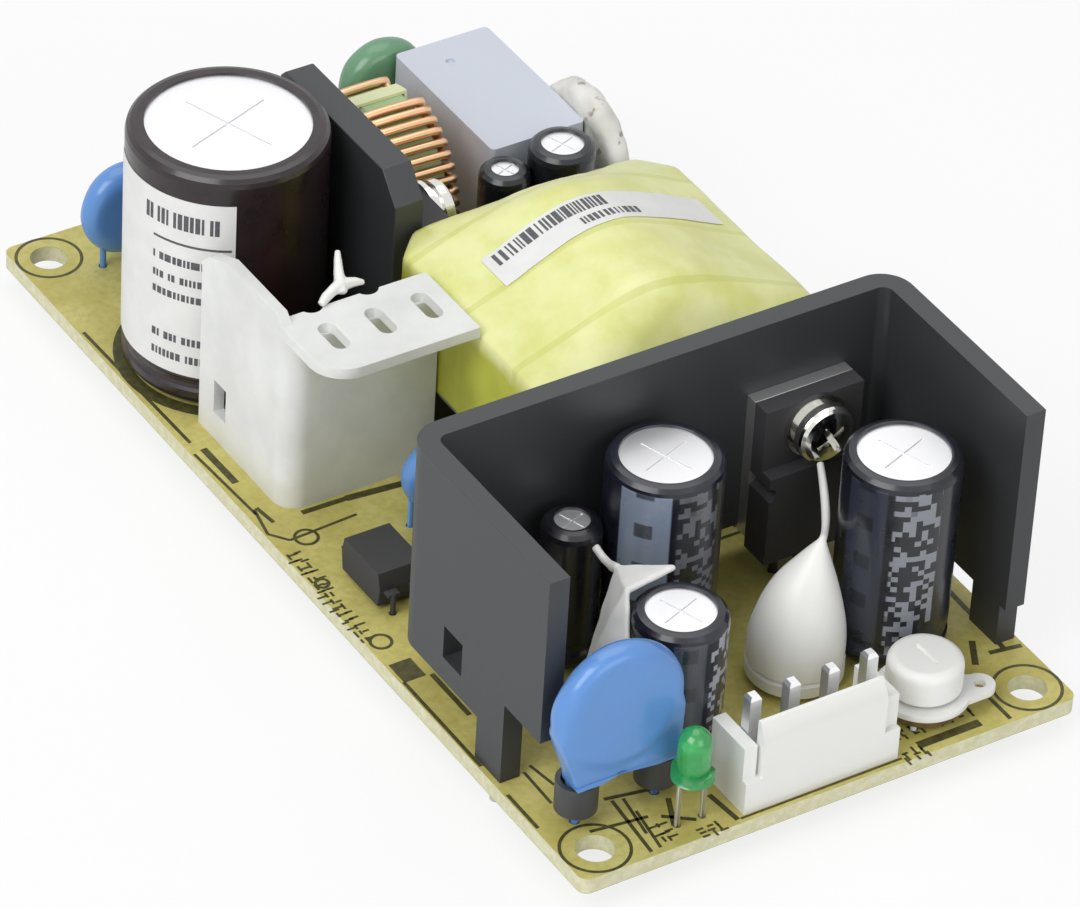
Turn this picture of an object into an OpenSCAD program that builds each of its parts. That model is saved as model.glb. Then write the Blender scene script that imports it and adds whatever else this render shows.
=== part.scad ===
// Open frame switch-mode power supply on a 4 x 2 inch single-sided board.
// X runs across the board, Y runs from the output end to the mains end, Z is up.
// The origin is the centre of the four mounting holes, on the underside of the laminate.

/* [Board] */
// Length of the laminate along Y
board_l = 101.6; // [98:0.2:120]
// Width of the laminate along X
board_w = 50.8; // [50.4:0.2:60]
// Thickness of the laminate
board_t = 1.6; // [1:0.1:2.4]
// Corner radius of the laminate
board_r = 1.0; // [0.2:0.1:2.5]
// Distance between mounting holes along Y
hole_pitch_l = 95.25; // [90:0.05:96]
// Distance between mounting holes along X
hole_pitch_w = 44.45; // [43:0.05:46]
// Diameter of a mounting hole
hole_d = 3.5; // [2.8:0.1:4.2]

/* [Leads and solder] */
// Diameter of an ordinary component lead
lead_d = 0.7; // [0.5:0.05:0.9]
// Clearance on radius between a lead and its drilled hole
lead_clear = 0.12; // [0.08:0.02:0.2]
// How far a lead and its solder reach under the laminate
tail_l = 2.0; // [1.8:0.1:3]
// Base diameter of a solder fillet
solder_d = 2.1; // [1.9:0.1:2.2]

/* [Output heatsink] */
// Outer width of the folded sheet across the wings
sink_w = 50.0; // [48:0.2:50.2]
// Depth of the wings along Y
sink_depth = 23.4; // [21:0.2:25]
// Height of its top edge over the board
sink_h = 25.8; // [24:0.2:32]
// Sheet thickness
sink_t = 2.0; // [1.2:0.1:2.2]
// Outer radius of the two folds
sink_bend_r = 3.0; // [2.4:0.1:4]
// Distance from the output edge of the board to the front of the wings
sink_setback = 8.5; // [7.8:0.1:9.5]
// Sideways offset of the sheet from the middle of the board
sink_x = 0.1; // [-0.1:0.1:0.2]
// Height of the lower edge over the board
sink_gap = 4.4; // [3.5:0.1:5.5]

/* [Output rectifier] */
// Width of the moulded package
rect_w = 10.2; // [9.5:0.1:11]
// Height of the moulded package
rect_h = 15.9; // [14.5:0.1:17]
// Thickness of the package
rect_t = 4.5; // [4:0.1:4.8]
// Top of the package over the board
rect_top = 18.8; // [18:0.1:22]
// Place of the package across the board
rect_x = 14.2; // [12:0.1:15]
// Shank diameter of the fixing screws
screw_d = 3.0; // [2.5:0.1:3.2]

/* [Transformer] */
// Width of the core across its outer legs
core_w = 28.6; // [27.6:0.1:29]
// Length of the two core halves together
core_l = 28.0; // [26:0.2:29]
// Depth of the core, which stands vertical here
core_d = 10.9; // [9:0.1:11]
// Diameter of the core's round middle leg
core_post_d = 9.9; // [8:0.1:11]
// Outer diameter of the winding
winding_d = 22.0; // [20:0.1:22.4]
// Height of the winding axis over the board
core_axis_h = 12.7; // [12.4:0.1:14]
// Thickness of the wrapped tape
tape_t = 0.35; // [0.2:0.05:0.5]
// Place of the transformer across the board
trafo_x = 7.85; // [7.6:0.05:8]

/* [Input side] */
// Diameter of the bulk capacitor's can
bulk_d = 18.0; // [16:0.1:18.4]
// Height of the bulk capacitor's can
bulk_h = 25.0; // [20:0.5:35]
// Distance from the long board edge to the bulk capacitor
bulk_edge = 0.95; // [0.6:0.05:1.5]
// Thickness of the upright heatsink plate
plate_t = 3.0; // [2:0.1:3.2]
// Length of the upright heatsink plate
plate_l = 20.4; // [18:0.2:24]
// Height of the upright heatsink plate over the board
plate_h = 24.0; // [20:0.2:27]
// Outer diameter of the choke's ring core
choke_od = 15.4; // [14.8:0.1:15.8]
// Hole diameter of the choke's ring core
choke_id = 9.4; // [9.2:0.1:10]
// Thickness of the choke's ring core
choke_t = 4.8; // [4:0.1:5]
// Wire diameter of the choke
choke_wire = 0.85; // [0.7:0.05:0.85]
// Turns in each of the choke's two windings
choke_turns = 18; // [8:1:18]
// Width of the film capacitor's case
film_w = 10.1; // [8.5:0.1:10.4]
// Length of the film capacitor's case
film_l = 17.5; // [15:0.1:18]
// Height of the film capacitor's case
film_h = 14.0; // [11:0.1:17]

/* [Cover] */
// Wall thickness of the moulded cover
cover_t = 1.1; // [0.8:0.1:1.5]
// Width of the moulded cover's front wall
cover_w = 15.4; // [14.5:0.1:15.5]
// Depth of its side wall
cover_d = 15.3; // [12:0.1:15.5]
// Height of the top flange's upper face
cover_flange_h = 19.7; // [19.7:0.1:22]
// How far the flange reaches in front of the front wall
cover_lip = 6.7; // [5:0.1:7.5]

/* [Output side] */
// Diameter of the two large output capacitors
cap_large_d = 10.0; // [9:0.1:10.2]
// Height of the two large output capacitors
cap_large_h = 20.0; // [16:0.5:25]
// Diameter of the middle output capacitor
cap_mid_d = 8.0; // [6.3:0.1:8.4]
// Height of the middle output capacitor
cap_mid_h = 14.5; // [11:0.5:20]
// Diameter of the small output capacitor
cap_small_d = 5.0; // [4:0.1:5.2]
// Height of the small output capacitor
cap_small_h = 14.5; // [11:0.5:16]
// Diameter of the drum inductor's foot
drum_d = 8.8; // [8:0.1:9]
// Diameter of the blue disc capacitor at the output edge
disc_front_d = 12.8; // [11:0.1:13]
// Distance between the output connector's posts
post_pitch = 3.96; // [3.5:0.01:4]
// Number of output posts
post_count = 4; // [2:1:4]
// Side of a square output post
post_w = 1.14; // [0.9:0.02:1.2]
// Height of a post's tip over the board
post_h = 10.6; // [10:0.1:13]
// Diameter of the output adjuster's dial
dial_d = 6.8; // [6.2:0.1:7.2]
// Height of the dial
dial_h = 3.4; // [2.6:0.1:4.4]

/* [Hidden] */

$fn = 48;
fine = 0.05;
solder_h = tail_l - 0.6;
top = board_t;
sleeve_t = 0.25;
can_stand = 0.4;

// Layout. Each place follows from the board edges or from the piece beside it.
near_edge = -board_l / 2;
far_edge = board_l / 2;
left_edge = -board_w / 2;
right_edge = board_w / 2;

sink_front_y = near_edge + sink_setback;
sink_back_y = sink_front_y + sink_depth;
sink_inner_y = sink_back_y - sink_t;
sink_left_x = sink_x - sink_w / 2;
sink_right_x = sink_x + sink_w / 2;

trafo_far_y = 13.6;
trafo_y = trafo_far_y - core_l / 2;

cover_y = 4.1;
cover_x = left_edge + 3.0;

bulk_x = left_edge + bulk_edge + bulk_d / 2 + sleeve_t;
bulk_y = cover_y + cover_d + bulk_d / 2 - 0.8;

plate_x = bulk_x + bulk_d / 2 + sleeve_t + 0.35;
plate_y = trafo_far_y + tape_t + 0.4;

switch_y = plate_y + rect_w / 2 + 0.1;
choke_r = choke_od / 2 + choke_wire + fine;
choke_h = choke_r + 0.7;
choke_x = plate_x + plate_t + 7.8;
choke_y = switch_y + rect_w / 2 + 0.3 + choke_r;

// The two windings start beside a gap at the top of the ring and end beside a gap at its foot.
choke_gap = 76;
choke_start = choke_gap + 22;
choke_end = choke_start + 148;
choke_ring = choke_od / 2 + choke_wire / 2 + fine;
choke_side = choke_t / 2 + choke_wire / 2 + fine;
choke_round = 0.6 * choke_wire;
choke_face = choke_side - choke_round;
choke_drop = choke_side + 2.0 * choke_wire;
film_far_y = far_edge - 6.9;
film_y = film_far_y - film_l / 2;

// Gap left between neighbouring round parts.
side_gap = 0.2;
cap_1 = [-3.1, sink_inner_y - cap_large_d / 2 - sleeve_t - 0.45];
cap_2 = [-9.4, near_edge + 11.4];
cap_4 = [cap_1[0] - (cap_large_d + cap_small_d) / 2 - 2 * sleeve_t + 0.1, cap_1[1] + 2.0];
adjuster = [12.6, near_edge + 5.5];
cap_3 = [adjuster[0] + 2.6, adjuster[1] + (dial_d + cap_large_d) / 2 + sleeve_t + 0.65];
drum = [cap_3[0] - (cap_large_d + drum_d) / 2 - sleeve_t - side_gap, cap_3[1] - 0.2];

disc_varistor = [14.0, 2.8];
varistor_at = [right_edge - 0.05 - disc_varistor[1] / 2, film_y - 6.65];
film_x = varistor_at[0] - disc_varistor[1] / 2 - 0.1 - film_w / 2;
filter_1_size = [4.4, 13.2];
filter_2_size = [5.8, 14.6];
filter_far_y = film_y - film_l / 2 - side_gap;
filter_1 = [choke_x + 6.9, filter_far_y - filter_1_size[0] / 2 - sleeve_t];
filter_2 = [
    filter_1[0] + (filter_1_size[0] + filter_2_size[0]) / 2 + 2 * sleeve_t + 0.1,
    filter_far_y - filter_2_size[0] / 2 - sleeve_t
];

opto = [left_edge + 5.6, cover_y - 12.7];
opto_size = [4.6, 6.5, 3.5];
inner_disc = [opto[0] + 9.0, cover_y - 6.7];
front_disc = [left_edge + 7.5, near_edge + 7.0];
fuse_size = [4.3, 8.4, 7.6];
led_at = [front_disc[0] + 4.6, near_edge + 2.4];
post_x = -1.0;
post_y = near_edge + 3.5;
thermistor_at = [film_x - 5.1, film_far_y + 2.0];
bridge_size = [14.4, 3.4, 10.6];
bridge_at = [bulk_x + 7.0, bulk_y + bulk_d / 2 + 3.2];
rear_disc = [bulk_x - 0.7, bridge_at[1] + 4.4];
fuse_at = [bridge_at[0] + 0.6, bridge_at[1] + (bridge_size[1] + fuse_size[1]) / 2 + 0.3];
input_at = [fuse_at[0] + 9.2, far_edge - 3.6];

// Lead places. Each entry is [x, y, diameter]; the board, the leads and the solder all use these lists.
function pair(at, pitch, d, turn = 0) = [
    for (s = [-1, 1]) [at[0] + s * pitch / 2 * cos(turn), at[1] + s * pitch / 2 * sin(turn), d]
];
function row(at, count, pitch, d, turn = 0) = [
    for (i = [0 : count - 1])
        let (s = (i - (count - 1) / 2) * pitch) [at[0] + s * cos(turn), at[1] + s * sin(turn), d]
];

cap_1_leads = pair(cap_1, 5.0, lead_d);
cap_2_leads = pair(cap_2, 3.5, lead_d, 90);
cap_3_leads = pair(cap_3, 5.0, lead_d, 90);
cap_4_leads = pair(cap_4, 2.0, 0.5);
drum_leads = pair(drum, 5.0, lead_d, 45);
rect_leads = row([rect_x, sink_inner_y - 2.4], 3, 2.54, 0.8);
post_leads = row([post_x, post_y], post_count, post_pitch, post_w);
trim_leads = concat(
    row([adjuster[0], adjuster[1] - 2.2], 2, 4.6, 0.6), [[adjuster[0], adjuster[1] + 2.6, 0.6]]);
led_leads = pair(led_at, 2.54, 0.5);
front_disc_leads = pair(front_disc, 8.0, lead_d);
opto_leads = [for (s = [-1, 1]) each row([opto[0], opto[1] + s * 3.9], 2, 2.54, 0.5)];
inner_disc_leads = pair(inner_disc, 5.0, 0.6);
trafo_pin_y = core_l / 2 - 0.8;
trafo_leads = [for (s = [-1, 1]) each row([trafo_x, trafo_y + s * trafo_pin_y], 5, 5.0, 0.8)];
bulk_leads = pair([bulk_x, bulk_y], 7.5, 0.8);
switch_leads = row([plate_x + plate_t + 2.4, switch_y], 3, 2.54, 0.8, 90);
snub_cap = [cover_x + 9.6, cover_y + 5.0];
snub_res = [cover_x + 4.2, cover_y + 10.8];
snub_cap_leads = pair(snub_cap, 7.5, 0.6);
snub_res_leads = pair(snub_res, 3.4, lead_d, 90);
choke_leads = [
    [choke_x - choke_drop, choke_y + choke_ring * cos(choke_start), choke_wire],
    [choke_x - choke_drop, choke_y + choke_ring * cos(2 * choke_gap - choke_start), choke_wire],
    [choke_x - choke_face, choke_y + choke_ring * cos(choke_end), choke_wire],
    [choke_x - choke_face, choke_y + choke_ring * cos(2 * choke_gap - choke_end), choke_wire]
];
film_leads = pair([film_x, film_y], film_l - 2.5, 0.8, 90);
filter_1_leads = pair(filter_1, 2.0, 0.5);
filter_2_leads = pair(filter_2, 2.5, 0.5);
varistor_leads = pair(varistor_at, 7.5, 0.8, 90);
thermistor_leads = pair(thermistor_at, 5.0, 0.8);
bridge_leads = row(bridge_at, 4, 3.81, 0.8);
rear_disc_leads = pair(rear_disc, 5.0, 0.6);
fuse_leads = pair(fuse_at, 5.08, 0.6, 90);
input_leads = row(input_at, 2, 7.92, post_w);

round_leads = concat(
    cap_1_leads, cap_2_leads, cap_3_leads, cap_4_leads, drum_leads, rect_leads, trim_leads, led_leads,
    front_disc_leads, opto_leads, inner_disc_leads, trafo_leads, bulk_leads, switch_leads, snub_cap_leads,
    snub_res_leads, choke_leads, film_leads, filter_1_leads, filter_2_leads, varistor_leads,
    thermistor_leads, bridge_leads, rear_disc_leads, fuse_leads);
square_leads = concat(post_leads, input_leads);

// Heatsink pins, [x, y], pressed up into the metal and down through the board.
pin_d = 1.0;
pin_rise = 2.4;
sink_leg_w = 4.1;
sink_leg_y = sink_front_y + 7.75;
sink_right_leg_y = sink_front_y + 2.9;
sink_back_leg_x = sink_x + 1.5;
sink_pins = [
    [sink_left_x + sink_t / 2, sink_leg_y], [sink_right_x - sink_t / 2, sink_right_leg_y],
    [sink_back_leg_x, sink_back_y - sink_t / 2]
];
plate_leg_y = [plate_y + 3.2, plate_y + plate_l - 3.2];
plate_pins = [for (y = plate_leg_y) [plate_x + plate_t / 2, y]];
heat_pins = concat(sink_pins, plate_pins);

// ---------------------------------------------------------------- shared shapes

module at_leads(list) {
    for (p = list) translate([p[0], p[1], 0]) children();
}

module leads(list, rise) {
    for (p = list)
        translate([p[0], p[1], -tail_l]) cylinder(h = tail_l + top + rise, d = p[2]);
}

module square_bar(w, h) {
    translate([-w / 2, -w / 2, 0]) cube([w, w, h]);
}

module rounded_box(size, r) {
    linear_extrude(size[2])
        rounded_rect(size[0], size[1], r);
}

module rounded_rect(w, l, r) {
    square([w - 2 * r, l], center = true);
    square([w, l - 2 * r], center = true);
    for (sx = [-1, 1], sy = [-1, 1])
        translate([sx * (w / 2 - r), sy * (l / 2 - r)]) circle(r);
}

// Half outline of a crimped capacitor can, from the bung rim up to the top rim.
function can_outline(r, h, grow = 0) = concat(
    [[r - 0.7 + grow * 0.6, -grow], [r - 0.2 + grow, 0.35], [r + grow, 0.8], [r + grow, 1.5]],
    [for (a = [-60 : 30 : 60]) [r + grow - 0.5 * (cos(a) - 0.5), 2.2 + 0.8 * sin(a)]],
    [[r + grow, h - 0.7]],
    [for (a = [30 : 30 : 90]) [r - 0.7 + (0.7 + grow) * cos(a), h - 0.7 + (0.7 + grow) * sin(a)]]
);

module can(r, h, vent = true) {
    translate([0, 0, top + can_stand])
        difference() {
            rotate_extrude() polygon(concat([[0, 0]], can_outline(r, h), [[0, h]]));
            if (vent)
                for (a = [0, 90])
                    rotate([0, 0, a + 20]) translate([-r * 0.55, -0.1, h - 0.12]) cube([r * 1.1, 0.2, 1]);
        }
}

// The shrunk sleeve hugs the can and curls a little over both rims.
module sleeve(r, h) {
    lip = max(0.9, r * 0.16);
    translate([0, 0, top + can_stand])
        rotate_extrude()
            polygon(concat(
                can_outline(r, h, sleeve_t),
                [[r - lip, h + sleeve_t], [r - lip, h + 0.01]],
                [for (i = [len(can_outline(r, h)) - 1 : -1 : 0]) can_outline(r, h, 0.01)[i]]
            ));
}

module electrolytic(at, r, h, list) {
    translate([at[0], at[1], 0]) can(r, h);
    leads(list, can_stand);
}

// A dipped disc: a lens-edged body that runs down onto its two leads.
module dipped_disc(d, t, low) {
    translate([0, 0, top + low + d / 2])
        rotate([90, 0, 0]) {
            rotate_extrude()
                polygon(concat(
                    [[0, -t / 2], [d / 2 - t * 0.42, -t / 2]],
                    [for (a = [-60 : 30 : 60]) [d / 2 - t * 0.42 + t * 0.42 * cos(a), t / 2 * sin(a)]],
                    [[d / 2 - t * 0.42, t / 2], [0, t / 2]]
                ));
        }
}

// ---------------------------------------------------------------- board

module board() {
    color([0.86, 0.82, 0.55])
        difference() {
            rounded_box([board_w, board_l, board_t], board_r);
            for (sx = [-1, 1], sy = [-1, 1])
                translate([sx * hole_pitch_w / 2, sy * hole_pitch_l / 2, -1])
                    cylinder(h = board_t + 2, d = hole_d);
            for (p = round_leads)
                translate([p[0], p[1], -1]) cylinder(h = board_t + 2, d = p[2] + 2 * lead_clear, $fn = 16);
            for (p = square_leads)
                translate([p[0], p[1], -1])
                    cylinder(h = board_t + 2, d = (p[2] + lead_clear) * sqrt(2), $fn = 16);
            for (p = heat_pins)
                translate([p[0], p[1], -1]) cylinder(h = board_t + 2, d = pin_d + 2 * lead_clear, $fn = 16);
        }
}

// Concave solder cone round a tail of radius r, seated on a pad `extra` wider than the smallest one.
module solder_fillet(r) {
    pad_r = r + (solder_d - lead_d) / 2;
    rotate_extrude($fn = 24)
        polygon([
            [r + fine, 0], [pad_r, 0], [r + 0.38, -0.4], [r + 0.14, -0.95], [r + fine, -solder_h]
        ]);
}

module solder_joints() {
    color([0.75, 0.76, 0.78]) {
        for (p = round_leads)
            translate([p[0], p[1], 0]) solder_fillet(p[2] / 2);
        for (p = square_leads)
            translate([p[0], p[1], 0]) solder_fillet(p[2] / sqrt(2));
        for (p = heat_pins)
            translate([p[0], p[1], 0]) solder_fillet(pin_d / 2);
    }
}

// ---------------------------------------------------------------- output heatsink

module sink_outline() {
    l = sink_depth;
    w = sink_w;
    difference() {
        translate([-w / 2, -l]) square([w, l]);
        translate([-w / 2 + sink_t, -l - 1]) square([w - 2 * sink_t, l + 1 - sink_bend_r]);
        translate([-w / 2 + sink_bend_r, -l - 1]) square([w - 2 * sink_bend_r, l + 1 - sink_t]);
        for (s = [-1, 1]) {
            translate([s * (w / 2 - sink_bend_r), -sink_bend_r]) circle(sink_bend_r - sink_t);
            translate([s * w / 2, 0]) mirror([s < 0 ? 1 : 0, 0])
                difference() {
                    translate([-sink_bend_r, -sink_bend_r]) square(sink_bend_r + 1);
                    translate([-sink_bend_r, -sink_bend_r]) circle(sink_bend_r);
                }
        }
    }
}

module sink_window(x, y0, y1, z0, z1) {
    translate([x - sink_t, y0, z0]) cube([2 * sink_t, y1 - y0, z1 - z0]);
}

module output_heatsink() {
    x0 = sink_left_x + sink_t / 2;
    x1 = sink_right_x - sink_t / 2;
    leg_r = sink_leg_w / 2;
    front_lift = top + 8.6;
    color([0.16, 0.17, 0.18])
        difference() {
            translate([sink_x, sink_back_y, top]) linear_extrude(sink_h) sink_outline();
            // lower edge of the left wing, higher in front of its leg
            sink_window(x0, sink_leg_y + leg_r, sink_back_y - sink_bend_r, top - 1, top + sink_gap);
            sink_window(x0, sink_front_y - 1, sink_leg_y - leg_r, top - 1, front_lift);
            // lower edge of the right wing
            sink_window(x1, sink_right_leg_y + leg_r, sink_back_y - sink_bend_r, top - 1, top + sink_gap);
            sink_window(x1, sink_front_y - 1, sink_right_leg_y - leg_r, top - 1, top + sink_gap);
            // back wall and folds
            for (s = [-1, 1])
                translate([sink_back_leg_x + (s > 0 ? 3 : -3 - sink_w), sink_back_y - sink_bend_r - fine, top - 1])
                    cube([sink_w, sink_bend_r + 1, sink_gap + 1]);
            // small window punched in the left wing
            sink_window(x0, sink_leg_y + leg_r + 2.8, sink_leg_y + leg_r + 5.8, top + 6.8, top + 10.2);
            // tapped hole for the rectifier screw
            translate([rect_x, sink_back_y + 1, top + rect_top - 2.8])
                rotate([90, 0, 0]) cylinder(h = sink_t + 2, d = screw_d);
            for (p = sink_pins)
                translate([p[0], p[1], top - 1]) cylinder(h = pin_rise + 1, d = pin_d);
        }
}

module heatsink_pins() {
    color([0.8, 0.8, 0.8])
        for (p = heat_pins)
            translate([p[0], p[1], -tail_l]) cylinder(h = tail_l + top + pin_rise, d = pin_d);
}

// ---------------------------------------------------------------- power packages

rect_plate_t = 1.3;
rect_face_t = 3.1;
rect_hole_drop = 2.8;
rect_head_h = 6.4;

// Moulded body with its back on the plane y = 0, facing -Y, with z = 0 at its lower end.
module package_body() {
    difference() {
        union() {
            translate([-rect_w / 2, -rect_t, 0]) cube([rect_w, rect_t - rect_plate_t, rect_h - rect_head_h]);
            translate([-rect_w / 2, -rect_face_t, rect_h - rect_head_h])
                cube([rect_w, rect_face_t - rect_plate_t, rect_head_h]);
        }
        translate([0, 0, rect_h - rect_hole_drop])
            rotate([90, 0, 0]) cylinder(h = rect_t + 2, d = screw_d + 0.4);
        for (s = [-1, 1])
            translate([s * rect_w / 2, 0, rect_h - rect_head_h - 1.8])
                rotate([90, 0, 0]) cylinder(h = rect_t + 2, d = 1.4);
    }
}

// Metal back of the package.
module package_plate() {
    difference() {
        translate([-rect_w / 2, -rect_plate_t, 1]) cube([rect_w, rect_plate_t, rect_h - 1]);
        translate([0, 1, rect_h - rect_hole_drop])
            rotate([90, 0, 0]) cylinder(h = rect_plate_t + 2, d = screw_d + 0.4);
    }
}

// Pan head screw with a spring washer and a flat washer under its head; the shank end is at z = 0.
module pan_screw(shank, washer_d = 6.2) {
    head_d = screw_d * 1.9;
    cylinder(h = shank, d = screw_d);
    translate([0, 0, shank])
        difference() {
            rotate_extrude()
                polygon(concat(
                    [[0, 0], [washer_d / 2, 0], [washer_d / 2, 0.5], [head_d / 2 - 0.3, 0.5], [head_d / 2 - 0.3, 1.2],
                        [head_d / 2, 1.2], [head_d / 2, 1.9]],
                    [for (a = [15 : 15 : 90]) [head_d / 2 * cos(a), 1.9 + 1.0 * sin(a)]]
                ));
            for (a = [0, 90])
                rotate([0, 0, a + 30]) translate([-1.5, -0.3, 1.9]) cube([3, 0.6, 2]);
        }
}

module output_rectifier() {
    base = top + rect_top - rect_h;
    color([0.09, 0.09, 0.1]) {
        translate([rect_x, sink_inner_y, base]) package_body();
        leads(rect_leads, base - top);
    }
}

module rectifier_plate() {
    color([0.75, 0.74, 0.72])
        translate([rect_x, sink_inner_y, top + rect_top - rect_h]) package_plate();
}

module rectifier_screw() {
    color([0.8, 0.78, 0.72])
        translate([rect_x, sink_back_y + 0.4, top + rect_top - rect_hole_drop])
            rotate([90, 0, 0]) pan_screw(sink_t + rect_face_t + 0.4);
}

// ---------------------------------------------------------------- output capacitors

module output_cap_1() { color([0.8, 0.8, 0.82]) electrolytic(cap_1, cap_large_d / 2, cap_large_h, cap_1_leads); }
module output_cap_2() { color([0.8, 0.8, 0.82]) electrolytic(cap_2, cap_mid_d / 2, cap_mid_h, cap_2_leads); }
module output_cap_3() { color([0.8, 0.8, 0.82]) electrolytic(cap_3, cap_large_d / 2, cap_large_h, cap_3_leads); }
module output_cap_4() { color([0.7, 0.7, 0.72]) electrolytic(cap_4, cap_small_d / 2, cap_small_h, cap_4_leads); }

module sleeve_at(at, r, h) {
    color([0.1, 0.1, 0.13]) translate([at[0], at[1], 0]) sleeve(r, h);
}

module output_cap_1_sleeve() { sleeve_at(cap_1, cap_large_d / 2, cap_large_h); }
module output_cap_2_sleeve() { sleeve_at(cap_2, cap_mid_d / 2, cap_mid_h); }
module output_cap_3_sleeve() { sleeve_at(cap_3, cap_large_d / 2, cap_large_h); }
module output_cap_4_sleeve() { sleeve_at(cap_4, cap_small_d / 2, cap_small_h); }

// ---------------------------------------------------------------- drum inductor and glue

drum_foot_h = 1.8;
drum_h = 6.4;
drum_post_d = 2.8;
drum_flange_t = 1.0;
drum_top_d = 5.3;

module drum_core() {
    color([0.9, 0.9, 0.86]) {
        translate([drum[0], drum[1], top + can_stand])
            rotate_extrude()
                polygon([
                    [0, 0], [drum_d / 2 - 0.3, 0], [drum_d / 2, 0.3], [drum_d / 2, drum_foot_h - 0.4],
                    [drum_d / 2 - 0.4, drum_foot_h], [drum_post_d / 2, drum_foot_h],
                    [drum_post_d / 2, drum_h - drum_flange_t], [drum_top_d / 2, drum_h - drum_flange_t],
                    [drum_top_d / 2, drum_h], [0, drum_h]
                ]);
        leads(drum_leads, can_stand);
    }
}

module drum_winding() {
    color([0.72, 0.42, 0.22])
        translate([drum[0], drum[1], top + can_stand + drum_foot_h + fine])
            difference() {
                cylinder(h = drum_h - drum_foot_h - drum_flange_t - 2 * fine, d = drum_top_d - 0.4);
                translate([0, 0, -1]) cylinder(h = drum_h, d = drum_post_d + 2 * fine);
            }
}

function unit(v) = v / norm(v);

// Side vector of each ring of a sweep, carried along the path without twisting.
function level(s, t) = unit(s - t * (s * t));
function side_vectors(dir) = [
    for (
        i = 0, s = level([0.31, 0.52, 0.79], dir[0]);
        i < len(dir);
        i = i + 1, s = i < len(dir) ? level(s, dir[i]) : s
    ) s
];

// A strand of varying radius along a path of points.
module strand(path, radii, sides = 8) {
    last = len(path) - 1;
    dir = [for (i = [0 : last]) unit(path[min(i + 1, last)] - path[max(i - 1, 0)])];
    side = side_vectors(dir);
    points = [
        for (i = [0 : last], k = [0 : sides - 1])
            let (a = 360 * k / sides, r = radii[min(i, len(radii) - 1)])
            path[i] + r * (cos(a) * side[i] + sin(a) * cross(dir[i], side[i]))
    ];
    wall = [
        for (i = [0 : last - 1], k = [0 : sides - 1])
            let (a = i * sides + k, b = i * sides + (k + 1) % sides)
            each [[a, a + sides, b], [b, a + sides, b + sides]]
    ];
    near_cap = [for (k = [0 : sides - 1]) k];
    far_cap = [for (k = [sides - 1 : -1 : 0]) last * sides + k];
    polyhedron(points, concat([near_cap], wall, [far_cap]));
}

// Points on a slack curve between two ends, drawn aside by `bow` in the middle.
function slack(a, b, bow, n) = [for (i = [0 : n]) let (t = i / n) a + (b - a) * t + 4 * t * (1 - t) * bow];

// The dome of glue over the drum leans as it rises and runs out into a strand up to the rectifier screw.
glue_h = 11.3;
glue_lean = [2.2, 0.5];
glue_base = top + can_stand + drum_foot_h + 0.1;
glue_tip = 0.4;
screw_tip = [rect_x - 0.6, sink_inner_y - rect_face_t - 3.2, top + rect_top - rect_hole_drop - 2.4];

function glue_centre(t) = [drum[0] + glue_lean[0] * t * t, drum[1] + glue_lean[1] * t * t, glue_base + glue_h * t];
function glue_radius(t) = glue_tip + (drum_d / 2 - glue_tip) * cos(90 * pow(t, 1.15)) * (1 - 0.2 * t * t);

module glue_dome() {
    rings = 12;
    rise = [for (i = [0 : rings]) glue_centre(i / rings)];
    run = slack(glue_centre(1), screw_tip, [0.3, -0.4, -1.2], 8);
    path = concat(rise, [for (i = [1 : len(run) - 1]) run[i]]);
    radii = concat([for (i = [0 : rings]) glue_radius(i / rings)], [for (i = [1 : len(run) - 1]) 0.36 - 0.02 * i]);
    color([0.95, 0.95, 0.92])
        difference() {
            strand(path, radii, 20);
            translate([drum[0], drum[1], glue_base - 1])
                cylinder(h = drum_h - drum_foot_h + 1 + fine, d = drum_top_d + 2 * fine);
        }
}

// A web of glue pulled between three capacitors, with a strand to the small one.
web_r = 0.3;
web_off = cap_mid_d / 2 + sleeve_t + 2 * web_r;

function beside_cap_2(a, z) = [cap_2[0] + web_off * cos(a), cap_2[1] + web_off * sin(a), top + can_stand + z];

module glue_web() {
    rim = cap_mid_h + sleeve_t + web_r + 0.25;
    start = [cap_4[0] + 0.3, cap_4[1] - cap_small_d / 2 - sleeve_t - 0.5, top + cap_small_h - 0.2];
    fork = [cap_4[0], cap_2[1] + 7.5, top + cap_small_h + 0.4];
    back = beside_cap_2(66, rim);
    side = beside_cap_2(131, rim);
    low = beside_cap_2(170, rim - 3.0);
    foot = [cap_2[0] - 7.6, cap_2[1] + 2.4, top + cap_mid_h - 4.6];
    color([0.95, 0.95, 0.92]) {
        strand(slack(start, fork, [0.2, 0, -0.7], 6), [0.4, 0.38, 0.36, 0.38, 0.42, 0.45, 0.45], 8);
        hull() glue_beads([fork, back, side]);
        hull() glue_beads([fork, side, foot]);
        hull() glue_beads([side, low, foot]);
    }
}

module glue_beads(points) {
    for (p = points) translate(p) sphere(web_r, $fn = 12);
}

// ---------------------------------------------------------------- output connector

header_w = (post_count - 1) * post_pitch + 3.9;
header_d = 5.6;
header_base_h = 3.4;
header_wall_h = 9.0;
header_wall_t = 1.2;
header_front = near_edge + 0.7;

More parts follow.
